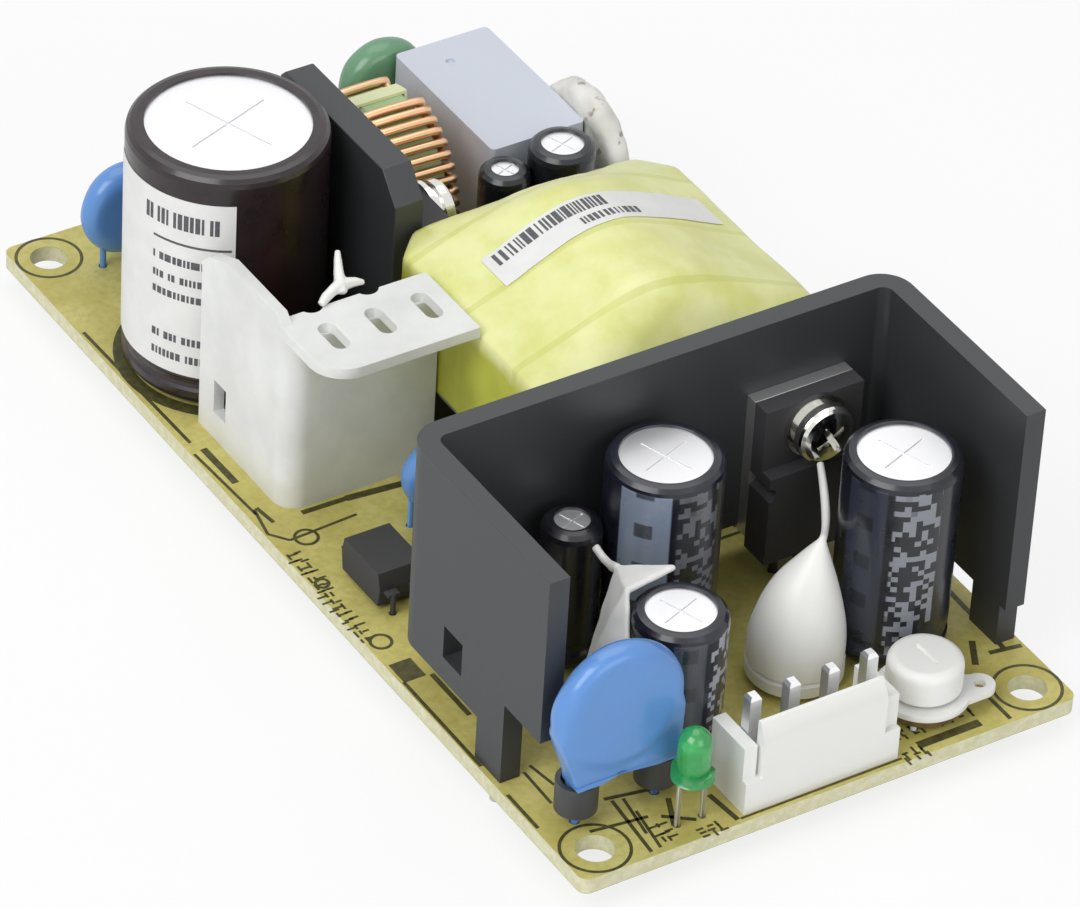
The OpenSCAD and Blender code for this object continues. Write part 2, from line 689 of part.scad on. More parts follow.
module output_connector() {
    x0 = post_x - header_w / 2;
    color([0.93, 0.93, 0.9])
        translate([x0, header_front, top])
            difference() {
                union() {
                    cube([header_w, header_d, header_base_h]);
                    translate([1.6, 0, 0]) cube([header_w - 3.2, header_wall_t, header_wall_h]);
                    // ribs behind the locking wall, between the posts
                    for (i = [0 : post_count - 2])
                        translate([header_w / 2 + (i + 1 - post_count / 2) * post_pitch - 0.5, 0, 0])
                            cube([1.0, header_wall_t + 0.7, header_wall_h - 1.6]);
                    // end cheeks
                    for (x = [0, header_w - 1.3])
                        translate([x, 0.6, 0]) cube([1.3, header_d - 0.6, header_wall_h - 2.2]);
                }
                // sloped tip of the locking wall
                translate([-1, 0, header_wall_h - 0.9])
                    rotate([0, 90, 0])
                        linear_extrude(header_w + 2) polygon([[-1.0, -0.1], [-1.0, 0.9], [0.9, -0.1]]);
                for (p = post_leads)
                    translate([p[0] - x0, p[1] - header_front, -1])
                        square_bar(post_w + 2 * fine, header_base_h + 2);
            }
}

module output_posts() {
    color([0.88, 0.88, 0.86]) at_leads(post_leads) post(post_w, post_h);
}

// Square post, tapered at its tip, that runs down through the board.
module post(w, h) {
    translate([0, 0, -tail_l]) square_bar(w, tail_l + top + h - 0.8);
    translate([0, 0, top + h - 0.8])
        intersection() {
            rotate([0, 0, 45]) cylinder(h = 0.8, d1 = w * 2, d2 = w * 0.9, $fn = 4);
            square_bar(w, 1);
        }
}

// ---------------------------------------------------------------- adjuster

trim_d = 8.4;
trim_plate_t = 0.6;
trim_h = 1.7;
trim_stand = 0.5;
trim_bore = 2.6;
eye_at = [4.6, -1.95];
eye_d = 2.8;
eye_hole_d = 1.1;
dial_gap = 0.25;
dial_edge_r = 0.9;
dial_shaft_clear = 0.05;

// Round body on three leads under a thin plate with a lifting eye at its side.
module trimmer_base() {
    plate_z = trim_h - trim_plate_t;
    color([0.93, 0.93, 0.9])
        translate([adjuster[0], adjuster[1], top + trim_stand])
            difference() {
                union() {
                    cylinder(h = trim_h - fine, d = trim_d - 1.6);
                    translate([0, 0, plate_z]) cylinder(h = trim_plate_t, d = trim_d);
                    translate([0, 0, plate_z])
                        linear_extrude(trim_plate_t) {
                            translate(eye_at) circle(d = eye_d);
                            polygon([[0, eye_at[1] - eye_d / 2], [eye_at[0], eye_at[1] - eye_d / 2],
                                [eye_at[0], eye_at[1] + eye_d / 2], [0, 1.4]]);
                        }
                }
                translate([0, 0, -1]) cylinder(h = trim_h + 2, d = trim_bore);
                translate([eye_at[0], eye_at[1], -1]) cylinder(h = trim_h + 2, d = eye_hole_d);
                // shallow ring in which the wiper runs
                translate([0, 0, trim_h - 0.25])
                    difference() {
                        cylinder(h = 1, d = dial_d * 0.75);
                        translate([0, 0, -1]) cylinder(h = 3, d = trim_bore + 1.2);
                    }
            }
    color([0.8, 0.8, 0.8]) leads(trim_leads, trim_stand);
}

module trimmer_dial() {
    r = dial_d / 2;
    color([0.95, 0.95, 0.93])
        translate([adjuster[0], adjuster[1], top + trim_stand + trim_h + dial_gap])
            difference() {
                union() {
                    rotate_extrude($fn = 72)
                        polygon(concat(
                            [[0, 0], [r - 0.3, 0], [r, 0.3]],
                            [for (a = [0 : 15 : 90]) [
                                r - dial_edge_r + dial_edge_r * cos(a),
                                dial_h - dial_edge_r + dial_edge_r * sin(a)
                            ]],
                            [[0, dial_h]]
                        ));
                    translate([0, 0, -trim_h - dial_gap + 0.2])
                        cylinder(h = trim_h + dial_gap, d = trim_bore - 2 * dial_shaft_clear);
                }
                // pointer groove on top
                translate([-0.2, -dial_d * 0.22, dial_h - 0.3]) cube([0.4, dial_d * 0.44, 1]);
            }
}

// ---------------------------------------------------------------- LED and small radial parts

led_d = 3.0;
led_h = 5.2;
led_stand = 4.9;

module led() {
    color([0.3, 0.75, 0.4]) {
        translate([led_at[0], led_at[1], top + led_stand])
            difference() {
                rotate_extrude()
                    polygon(concat(
                        [[0, 0], [led_d / 2 + 0.4, 0], [led_d / 2 + 0.4, 1.0], [led_d / 2, 1.0]],
                        [for (a = [0 : 15 : 90]) [led_d / 2 * cos(a), led_h - led_d / 2 + led_d / 2 * sin(a)]]
                    ));
                translate([led_d / 2, -3, -1]) cube([2, 6, 2.0]);
            }
        leads(led_leads, led_stand);
    }
}

front_disc_t = 2.8;
front_disc_low = 5.9;
front_disc_shift = [-1.0, -0.8];
tube_od = 3.8;
tube_h = 3.1;
tube_low = 1.7;

// Dipped disc whose coating runs down in two shoulders onto the leads.
module front_disc_capacitor() {
    r = disc_front_d / 2;
    neck = 1.2;
    foot = tube_low + tube_h - 0.6;
    mid = [front_disc[0] + front_disc_shift[0], front_disc[1] + front_disc_shift[1]];
    span = [for (p = front_disc_leads) p[0] - mid[0]];
    color([0.18, 0.38, 0.72]) {
        translate([mid[0], mid[1], 0]) dipped_disc(disc_front_d, front_disc_t, front_disc_low);
        translate([mid[0], mid[1] + front_disc_t * 0.42, top])
            rotate([90, 0, 0])
                linear_extrude(front_disc_t * 0.84)
                    polygon([
                        [-r * 0.985, front_disc_low + r - 1.0], [span[0] - neck, foot + 0.8], [span[0] + neck, foot + 0.8],
                        [0, foot + 1.3], [span[1] - neck, foot + 0.8], [span[1] + neck, foot + 0.8],
                        [r * 0.985, front_disc_low + r - 1.0]
                    ]);
        for (p = front_disc_leads)
            translate([p[0], p[1], top + foot - 1.0])
                cylinder(h = front_disc_low + 1.2 - foot, d1 = 1.7, d2 = 2.6);
        leads(front_disc_leads, foot);
    }
}

// Black tubing slipped over the blue disc's leads.
module lead_tubes() {
    color([0.12, 0.12, 0.14])
        at_leads(front_disc_leads)
            translate([0, 0, top + tube_low])
                difference() {
                    cylinder(h = tube_h, d = tube_od);
                    translate([0, 0, -1]) cylinder(h = tube_h + 2, d = tube_od - 0.9);
                }
}

module disc_with_leads(at, list, d, t, low, turn = 0) {
    translate([at[0], at[1], 0]) rotate([0, 0, turn]) dipped_disc(d, t, low);
    leads(list, low + 1.2);
}

module inner_disc_capacitor() {
    color([0.2, 0.4, 0.75]) disc_with_leads(inner_disc, inner_disc_leads, 7.0, 2.6, 1.6);
}
module rear_disc_capacitor() {
    color([0.2, 0.4, 0.75]) disc_with_leads(rear_disc, rear_disc_leads, 9.6, 2.8, 1.2);
}
module thermistor() { color([0.3, 0.5, 0.38]) disc_with_leads(thermistor_at, thermistor_leads, 9.0, 3.2, 5.4); }
module varistor() {
    color([0.92, 0.91, 0.88])
        disc_with_leads(varistor_at, varistor_leads, disc_varistor[0], disc_varistor[1], 1.9, 90);
}

module optocoupler() {
    color([0.1, 0.1, 0.11])
        translate([opto[0], opto[1], top + 0.5])
            rotate([90, 0, 90])
                translate([0, 0, -opto_size[0] / 2])
                    linear_extrude(opto_size[0])
                        polygon([
                            [-opto_size[1] / 2 + 0.25, 0], [opto_size[1] / 2 - 0.25, 0],
                            [opto_size[1] / 2, opto_size[2] * 0.55], [opto_size[1] / 2 - 0.35, opto_size[2]],
                            [-opto_size[1] / 2 + 0.35, opto_size[2]], [-opto_size[1] / 2, opto_size[2] * 0.55]
                        ]);
    color([0.8, 0.8, 0.8]) {
        leads(opto_leads, 2.1);
        for (p = opto_leads, s = [sign(p[1] - opto[1])])
            translate([p[0] - 0.6, min(p[1], p[1] - s * 0.8) - 0.12, top + 1.9]) cube([1.2, 1.04, 0.3]);
    }
}

// ---------------------------------------------------------------- transformer

core_back_t = 4.25;
core_chamfer = 2.8;
window_l = core_l - 2 * core_back_t;
bobbin_wall = 0.9;
core_clear = 0.25;
core_split = 0.02;
shoulder_l = 2.5;
shoulder_drop = 1.3;
axis_z = top + core_axis_h;

module along_y(h) {
    rotate([-90, 0, 0]) translate([0, 0, -h / 2]) children();
}

// Plan of the core with its four upright corners cut back.
module core_plan(grow) {
    w = core_w / 2 + grow;
    l = core_l / 2 + grow;
    c = core_chamfer;
    polygon([[-w, c - l], [c - w, -l], [w - c, -l], [w, c - l], [w, l - c], [w - c, l], [c - w, l], [-w, l - c]]);
}

// One half of the round-legged core. side is -1 for the output half, 1 for the mains half.
module core_half(side) {
    translate([trafo_x, trafo_y, axis_z]) {
        difference() {
            translate([0, 0, -core_d / 2])
                linear_extrude(core_d)
                    intersection() {
                        core_plan(0);
                        translate([-core_w / 2, side > 0 ? core_split : -core_l / 2])
                            square([core_w, core_l / 2 - core_split]);
                    }
            along_y(window_l) cylinder(h = window_l, d = winding_d + 2 * core_clear);
        }
        intersection() {
            along_y(core_l - 1) cylinder(h = core_l - 1, d = core_post_d);
            translate([-core_w / 2, side > 0 ? core_split : -core_l / 2 + 0.5, -core_d])
                cube([core_w, core_l / 2 - core_split - 0.5, 2 * core_d]);
        }
    }
}

module transformer_core_near() { color([0.25, 0.25, 0.26]) core_half(-1); }
module transformer_core_far() { color([0.25, 0.25, 0.26]) core_half(1); }

// Round form of length l with a sloped shoulder at both ends.
module wound_form(l, grow) {
    r = winding_d / 2 + grow;
    along_y(l)
        rotate_extrude()
            polygon([
                [0, 0], [r - shoulder_drop, 0], [r, shoulder_l], [r, l - shoulder_l], [r - shoulder_drop, l], [0, l]
            ]);
}

module transformer_bobbin() {
    tube_d = core_post_d + 2 * core_clear + 2 * bobbin_wall;
    flange_l = window_l - 2 * fine;
    rail_top = core_axis_h - core_d / 2 - 0.1;
    rail_low = 0.8;
    rail_w = 24.4;
    flange_d = winding_d - 2 * shoulder_drop - 2 * fine;
    color([0.1, 0.1, 0.1]) {
        translate([trafo_x, trafo_y, axis_z])
            difference() {
                union() {
                    along_y(flange_l) cylinder(h = flange_l, d = tube_d);
                    for (s = [-1, 1])
                        translate([0, s * (flange_l - bobbin_wall) / 2, 0])
                            along_y(bobbin_wall) cylinder(h = bobbin_wall, d = flange_d);
                }
                along_y(core_l) cylinder(h = core_l, d = core_post_d + 2 * core_clear);
            }
        for (s = [-1, 1])
            translate([trafo_x, trafo_y + s * (flange_l / 2 - bobbin_wall), top + rail_low])
                mirror([0, s < 0 ? 1 : 0, 0])
                    translate([-rail_w / 2, 0, 0])
                        cube([rail_w, core_l / 2 + 0.3 - flange_l / 2 + bobbin_wall, rail_top - rail_low]);
    }
    color([0.8, 0.8, 0.8]) leads(trafo_leads, rail_low);
}

module transformer_winding() {
    l = window_l - 2 * bobbin_wall - 4 * fine;
    color([0.85, 0.75, 0.2])
        translate([trafo_x, trafo_y, axis_z])
            difference() {
                wound_form(l, 0);
                along_y(core_l) cylinder(h = core_l, d = core_post_d + 2 * core_clear + 2 * bobbin_wall + 2 * fine);
            }
}

// The wrap lies over the round winding and the core's edges and slopes down over both core backs.
module wrap_solid(grow) {
    hull() {
        wound_form(window_l + 2 * grow, grow);
        translate([0, 0, -core_d / 2 - grow]) linear_extrude(core_d + 2 * grow) core_plan(grow);
    }
}

module transformer_tape() {
    color([0.92, 0.93, 0.66])
        translate([trafo_x, trafo_y, axis_z])
            difference() {
                wrap_solid(tape_t);
                wrap_solid(0.04);
                translate([-core_w, -core_l, -core_w - core_d / 2 + 0.3]) cube([2 * core_w, 2 * core_l, core_w]);
            }
}

// ---------------------------------------------------------------- mains side

module bulk_capacitor() {
    color([0.82, 0.82, 0.83]) electrolytic([bulk_x, bulk_y], bulk_d / 2, bulk_h, bulk_leads);
}

module bulk_capacitor_sleeve() {
    color([0.22, 0.16, 0.17]) translate([bulk_x, bulk_y, 0]) sleeve(bulk_d / 2, bulk_h);
}

plate_gap = 2.4;
plate_skin = 0.6;
plate_leg = 4.0;
switch_top = 18.0;

module primary_heatsink() {
    l = plate_l;
    leg = plate_leg / 2;
    color([0.15, 0.16, 0.17])
        difference() {
            translate([plate_x, plate_y, top])
                rotate([90, 0, 90])
                    linear_extrude(plate_t)
                        difference() {
                            polygon([
                                [0, 0], [l, 0], [l, plate_h - 0.8], [l - 0.8, plate_h], [2.4, plate_h],
                                [0, plate_h - 2.8]
                            ]);
                            translate([-1, -1]) square([1 + 3.2 - leg, plate_gap + 1]);
                            translate([3.2 + leg, -1]) square([l - 6.4 - plate_leg, plate_gap + 1]);
                            translate([l - 3.2 + leg, -1]) square([5, plate_gap + 1]);
                        }
            // blind tapped hole for the transistor screw
            translate([plate_x + plate_skin, switch_y, top + switch_top - rect_hole_drop])
                rotate([0, 90, 0]) cylinder(h = plate_t, d = screw_d);
            for (p = plate_pins)
                translate([p[0], p[1], top - 1]) cylinder(h = pin_rise + 1, d = pin_d);
        }
}

module switch_transistor() {
    base = top + switch_top - rect_h;
    color([0.1, 0.1, 0.11]) {
        translate([plate_x + plate_t, switch_y, base]) rotate([0, 0, 90]) package_body();
        translate([plate_x + plate_t, switch_y, base]) rotate([0, 0, 90]) package_plate();
        leads(switch_leads, base - top);
    }
}

module switch_screw() {
    color([0.8, 0.78, 0.72])
        translate([plate_x + plate_skin + fine, switch_y, top + switch_top - rect_hole_drop])
            rotate([0, 90, 0]) pan_screw(plate_t - plate_skin - fine + rect_face_t);
}

cover_rise = 0.9;
cover_corner = 3.4;
cover_edge_r = 2.2;
flange_back = 2.6;
slot_pitch = 4.75;
slot_size = [1.7, 4.0];
vent_at = [10.6, 2.9];
vent_size = [2.1, 3.6];

// Moulded insulating cover: side wall, front wall and a slotted flange over them.
module cover() {
    flange_low = cover_flange_h - cover_t;
    wall_top = cover_flange_h + cover_rise;
    color([0.93, 0.93, 0.91])
        difference() {
            union() {
                translate([cover_x, cover_y, top])
                    rotate([90, 0, 90])
                        linear_extrude(cover_t)
                            polygon([
                                [0, 0], [cover_d, 0], [cover_d, wall_top - 2.6], [cover_d - 1.2, wall_top - 1.4],
                                [cover_d - 4.4, wall_top], [2.4, wall_top], [1.4, cover_flange_h], [0, cover_flange_h]
                            ]);
                translate([cover_x, cover_y, top]) cube([cover_w, cover_t, flange_low + fine]);
                translate([cover_x, cover_y, top + flange_low]) linear_extrude(cover_t) cover_flange();
            }
            // rounded upright edge where the two walls meet
            translate([cover_x, cover_y, top - 1])
                linear_extrude(flange_low + 1)
                    difference() {
                        translate([-1, -1]) square(cover_edge_r + 1);
                        translate([cover_edge_r, cover_edge_r]) circle(cover_edge_r);
                    }
            // small vent low in the side wall
            translate([cover_x - 1, cover_y + vent_at[0], top + vent_at[1]])
                cube([cover_t + 2, vent_size[0], vent_size[1]]);
        }
}

module cover_slot() {
    r = slot_size[0] / 2;
    translate([-r, r]) square([slot_size[0], slot_size[1] - slot_size[0]]);
    for (y = [r, slot_size[1] - r]) translate([0, y]) circle(r);
}

module cover_flange() {
    difference() {
        union() {
            translate([0, cover_corner - cover_lip])
                square([cover_w, flange_back + cover_lip - cover_corner]);
            translate([cover_corner, -cover_lip]) square([cover_w - cover_corner, cover_corner + 1]);
            translate([cover_corner, cover_corner - cover_lip]) circle(cover_corner);
        }
        for (i = [-1 : 1])
            translate([cover_w / 2 + 0.5 + i * slot_pitch, -slot_size[1] + 0.3]) cover_slot();
        // scalloped rear edge
        for (x = [3.9, 9.6])
            translate([x, flange_back + 0.5]) circle(1.1);
    }
}

// Bead of glue between the cover's flange and the parts behind it.
module glue_cover() {
    z = top + cover_flange_h;
    a = [cover_x + 4.6, cover_y + 2.4, z + 0.35];
    b = [cover_x + 9.6, cover_y + 3.4, z + 0.35];
    color([0.95, 0.95, 0.92]) {
        strand(slack(a, b, [0, 0.7, 0.3], 6), [0.3, 0.5, 0.6, 0.65, 0.6, 0.5, 0.3], 6);
        strand(
            slack((a + b) / 2, (a + b) / 2 + [1.6, 3.8, 1.6], [-0.2, 0, 0.2], 4),
            [0.5, 0.5, 0.48, 0.42, 0.3], 6);
    }
}

module snubber_capacitor() {
    color([0.55, 0.2, 0.12]) {
        translate([snub_cap[0], snub_cap[1], top + 0.4]) rounded_box([10, 4.6, 9], 0.8);
        leads(snub_cap_leads, 0.4);
    }
}

module snubber_resistor() {
    color([0.55, 0.6, 0.65]) {
        translate([snub_res[0], snub_res[1] - 1.7, top + 1.2])
            rotate_extrude()
                polygon([
                    [0, 0], [1.5, 0.2], [1.7, 0.8], [1.7, 2.0], [1.5, 2.4], [1.5, 7.0], [1.7, 7.4], [1.7, 8.6],
                    [1.5, 9.2], [0, 9.4]
                ]);
        leads([snub_res_leads[0]], 1.3);
        leads([snub_res_leads[1]], 11.4);
        translate([snub_res[0], snub_res[1] - 1.7, top + 10.4]) cylinder(h = 1, d = lead_d);
        translate([snub_res[0], snub_res[1] - 1.7 - lead_d / 2, top + 11.4 - lead_d / 2])
            rotate([-90, 0, 0]) cylinder(h = 3.4 + lead_d, d = lead_d);
    }
}

// ---------------------------------------------------------------- ring choke

// Point in the ring's frame: turn angle a about the ring, radius r from its axis, offset x along it.
function ring_point(a, r, x) = [choke_x + x, choke_y + r * cos(a), top + choke_h + r * sin(a)];

choke_hole = choke_id / 2 - choke_wire / 2 - fine;
turn_step = (choke_end - choke_start) / choke_turns;

// One turn about the ring's square section. Every other turn lies in a second layer inside the hole.
function turn_points(k, flip) =
    let (
        layer = k % 2,
        inner = choke_hole - layer * choke_wire * 1.02,
        bulge = choke_side + layer * choke_wire * 0.95,
        c = choke_round,
        loop = [
            [choke_ring, -choke_side + c], [choke_ring, choke_side - c], [choke_ring - c, choke_side],
            [inner + c, bulge], [inner, bulge - c], [inner, -bulge + c], [inner + c, -bulge],
            [choke_ring - c, -choke_side]
        ]
    )
    [for (j = [0 : 7])
        let (a = choke_start + turn_step * (k + j / 8))
        ring_point(flip ? 2 * choke_gap - a : a, loop[j][0], loop[j][1])];

function choke_path(flip) =
    let (
        body = [for (k = [0 : choke_turns - 1]) each turn_points(k, flip)],
        a0 = flip ? 2 * choke_gap - choke_start : choke_start,
        a1 = flip ? 2 * choke_gap - choke_end : choke_end,
        end = ring_point(a1, choke_ring, -choke_face),
        drop = ring_point(a0, choke_ring, -choke_drop)
    )
    concat(
        [[drop[0], drop[1], -tail_l], [drop[0], drop[1], drop[2] - 2], [drop[0] + 0.2, drop[1], drop[2] - 0.5]],
        body,
        [end, [end[0], end[1], min(end[2] - 0.5, top + 0.9)], [end[0], end[1], -tail_l]]
    );

module choke_core() {
    color([0.45, 0.6, 0.3])
        translate([choke_x - choke_t / 2, choke_y, top + choke_h])
            rotate([0, 90, 0])
                rotate_extrude()
                    polygon([
                        [choke_id / 2 + 0.3, 0], [choke_od / 2 - 0.3, 0], [choke_od / 2, 0.3],
                        [choke_od / 2, choke_t - 0.3], [choke_od / 2 - 0.3, choke_t], [choke_id / 2 + 0.3, choke_t],
                        [choke_id / 2, choke_t - 0.3], [choke_id / 2, 0.3]
                    ]);
}

// Insulating tape bands over the ring where the two windings part.
module choke_divider() {
    band_w = 2.0;
    color([0.8, 0.85, 0.5])
        for (a = [choke_gap, choke_gap + 180])
            translate([choke_x, choke_y, top + choke_h])
                rotate([a - 90, 0, 0])
                    intersection() {
                        rotate([0, 90, 0])
                            difference() {
                                translate([0, 0, -choke_t / 2 - 0.3])
                                    cylinder(h = choke_t + 0.6, d = choke_od + 0.6);
                                translate([0, 0, -choke_t / 2 - 1]) cylinder(h = choke_t + 2, d = choke_id - 0.6);
                                translate([0, 0, -choke_t / 2 - 0.02])
                                    difference() {
                                        cylinder(h = choke_t + 0.04, d = choke_od + 0.04);
                                        translate([0, 0, -1]) cylinder(h = choke_t + 2, d = choke_id - 0.04);
                                    }
                            }
                        translate([-choke_t, -band_w / 2, 0]) cube([2 * choke_t, band_w, choke_od]);
                    }
}

module choke_winding_near() { color([0.85, 0.58, 0.36]) strand(choke_path(false), [choke_wire / 2], 6); }
module choke_winding_far() { color([0.85, 0.58, 0.36]) strand(choke_path(true), [choke_wire / 2], 6); }

// ---------------------------------------------------------------- filter and input parts

module film_capacitor() {
    color([0.8, 0.82, 0.86]) {
        translate([film_x, film_y, top + 0.3])
            difference() {
                rounded_box([film_w, film_l, film_h - 0.3], 0.5);
                translate([-1.0, film_l / 2 - 3.4, film_h - 0.55]) cylinder(h = 1, d = 0.9);
            }
        leads(film_leads, 0.3);
    }
}

module filter_cap(at, size, list) {
    color([0.75, 0.76, 0.78]) electrolytic(at, size[0] / 2, size[1], list);
}

module filter_cap_1() { filter_cap(filter_1, filter_1_size, filter_1_leads); }
module filter_cap_2() { filter_cap(filter_2, filter_2_size, filter_2_leads); }
module filter_cap_1_sleeve() { sleeve_at(filter_1, filter_1_size[0] / 2, filter_1_size[1]); }
module filter_cap_2_sleeve() { sleeve_at(filter_2, filter_2_size[0] / 2, filter_2_size[1]); }

module bridge_rectifier() {
    w = bridge_size[0];
    h = bridge_size[2];
    notch = 2.2;
    color([0.1, 0.1, 0.11]) {
        translate([bridge_at[0], bridge_at[1] + bridge_size[1] / 2, top + 1.6])
            rotate([90, 0, 0])
                linear_extrude(bridge_size[1])
                    polygon([[-w / 2, 0], [w / 2, 0], [w / 2, h], [-w / 2 + notch, h], [-w / 2, h - notch]]);
        leads(bridge_leads, 1.6);
    }
}

module fuse() {
    color([0.12, 0.12, 0.13]) {
        translate([fuse_at[0], fuse_at[1], top + 0.4]) rounded_box(fuse_size, 0.6);
        leads(fuse_leads, 0.4);
    }
}

module input_connector() {
    w = 7.92 + 3.9;
    front = far_edge - 0.7;
    color([0.93, 0.93, 0.9])
        translate([input_at[0] - w / 2, front - header_d, top])
            difference() {
                union() {
                    cube([w, header_d, header_base_h]);
                    translate([1.6, header_d - header_wall_t, 0]) cube([w - 3.2, header_wall_t, header_wall_h]);
                }
                for (p = input_leads)
                    translate([p[0] - input_at[0] + w / 2, p[1] - front + header_d, -1])
                        square_bar(post_w + 2 * fine, header_base_h + 2);
            }
}

module input_posts() {
    color([0.85, 0.85, 0.85]) at_leads(input_leads) post(post_w, post_h);
}

// ---------------------------------------------------------------- underside

chip_at = [3.0, 3.0];
chip_size = [5.0, 3.9, 1.4];
chip_stand = 0.12;
chip_pin = [0.4, 1.05, 0.5];
chip_pin_pitch = 1.27;
small_size = [2.0, 1.2, 0.6];
small_pitch = 4.0;
small_row = [chip_at[1] - 6.5, chip_at[1] + 5.0];

module control_chip() {
    color([0.1, 0.1, 0.11]) {
        translate([chip_at[0] - chip_size[0] / 2, chip_at[1] - chip_size[1] / 2, -chip_size[2] - chip_stand])
            cube(chip_size);
        for (i = [-1.5 : 1.5], s = [-1, 1])
            translate([
                chip_at[0] + i * chip_pin_pitch - chip_pin[0] / 2,
                chip_at[1] + s * (chip_size[1] / 2 - 0.1 + chip_pin[1] / 2) - chip_pin[1] / 2, -chip_pin[2]
            ])
                cube(chip_pin);
    }
}

module chip_parts() {
    color([0.2, 0.2, 0.2])
        for (y = small_row, i = [-1.5 : 1.5])
            translate([chip_at[0] + i * small_pitch - small_size[0] / 2, y - small_size[1] / 2, -small_size[2]])
                cube(small_size);
}

// ---------------------------------------------------------------- nodes

board();
solder_joints();
output_heatsink();
heatsink_pins();
output_rectifier();
rectifier_plate();
rectifier_screw();
output_cap_1();
output_cap_1_sleeve();
output_cap_2();
output_cap_2_sleeve();
output_cap_3();
output_cap_3_sleeve();
output_cap_4();
output_cap_4_sleeve();
drum_core();
drum_winding();
glue_dome();
glue_web();
output_connector();
output_posts();
trimmer_base();
trimmer_dial();
led();
front_disc_capacitor();
lead_tubes();
optocoupler();
inner_disc_capacitor();
transformer_core_near();
transformer_core_far();
transformer_bobbin();
transformer_winding();
transformer_tape();
bulk_capacitor();
bulk_capacitor_sleeve();
primary_heatsink();
switch_transistor();
switch_screw();
cover();
glue_cover();
snubber_capacitor();
snubber_resistor();
choke_core();
choke_divider();
choke_winding_near();
choke_winding_far();
film_capacitor();
filter_cap_1();
filter_cap_1_sleeve();
filter_cap_2();
filter_cap_2_sleeve();
varistor();
thermistor();
bridge_rectifier();
rear_disc_capacitor();
fuse();
input_connector();
input_posts();
control_chip();
chip_parts();
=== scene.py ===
"""Dresses an open frame power supply: a finish for every node, and the fine pieces the frame leaves out."""

import logging
import math
import random
from dataclasses import dataclass, field
from enum import Enum
from typing import Any, Callable, Sequence

import bmesh
import bpy
from mathutils import Matrix, Vector, noise
from mathutils.bvhtree import BVHTree


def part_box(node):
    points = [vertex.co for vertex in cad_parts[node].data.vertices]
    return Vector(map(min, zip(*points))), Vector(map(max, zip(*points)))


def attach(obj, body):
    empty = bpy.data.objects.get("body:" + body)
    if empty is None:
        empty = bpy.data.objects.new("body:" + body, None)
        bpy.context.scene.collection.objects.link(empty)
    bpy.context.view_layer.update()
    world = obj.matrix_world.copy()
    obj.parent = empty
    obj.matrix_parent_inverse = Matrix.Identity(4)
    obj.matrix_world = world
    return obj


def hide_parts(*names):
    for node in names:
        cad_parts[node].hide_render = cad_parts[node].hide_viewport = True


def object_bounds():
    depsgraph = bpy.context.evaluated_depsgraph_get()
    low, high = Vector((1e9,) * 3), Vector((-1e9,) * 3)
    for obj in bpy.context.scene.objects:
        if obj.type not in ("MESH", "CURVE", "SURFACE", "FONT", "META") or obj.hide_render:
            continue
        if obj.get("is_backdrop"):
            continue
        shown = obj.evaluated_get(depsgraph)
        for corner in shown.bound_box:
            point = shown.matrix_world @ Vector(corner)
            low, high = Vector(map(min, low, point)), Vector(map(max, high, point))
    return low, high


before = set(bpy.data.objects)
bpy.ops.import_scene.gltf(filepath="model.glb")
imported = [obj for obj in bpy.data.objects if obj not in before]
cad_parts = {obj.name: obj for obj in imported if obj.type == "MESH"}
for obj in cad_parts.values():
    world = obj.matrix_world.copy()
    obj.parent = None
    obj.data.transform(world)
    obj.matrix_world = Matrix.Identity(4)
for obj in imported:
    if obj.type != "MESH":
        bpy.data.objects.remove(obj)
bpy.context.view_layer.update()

MM = 0.001
SUPPLY = "supply"
DIAL = "dial"
BOARD_TOP = 1.6  # millimetres over the board's underside
LEAD_END = -2.0 * MM
UP = Vector((0, 0, 1))
NOISE_ROUGHNESS = 0.55
GLOSS_DRIFT = 0.06
Color = tuple[float, float, float]
log = logging.getLogger("power_supply")


class Part(Enum):
    """Which part of a cut shape is kept."""

    UPPER = "upper"
    LOWER = "lower"


def enter(name: str, data: bpy.types.ID) -> bpy.types.Object:
    """Put a new object in the scene.

    Args:
        name: The object's name.
        data: Its mesh, curve, light or camera.

    Returns:
        The object.
    """
    made = bpy.data.objects.new(name, data)
    bpy.context.scene.collection.objects.link(made)
    return made


# Materials


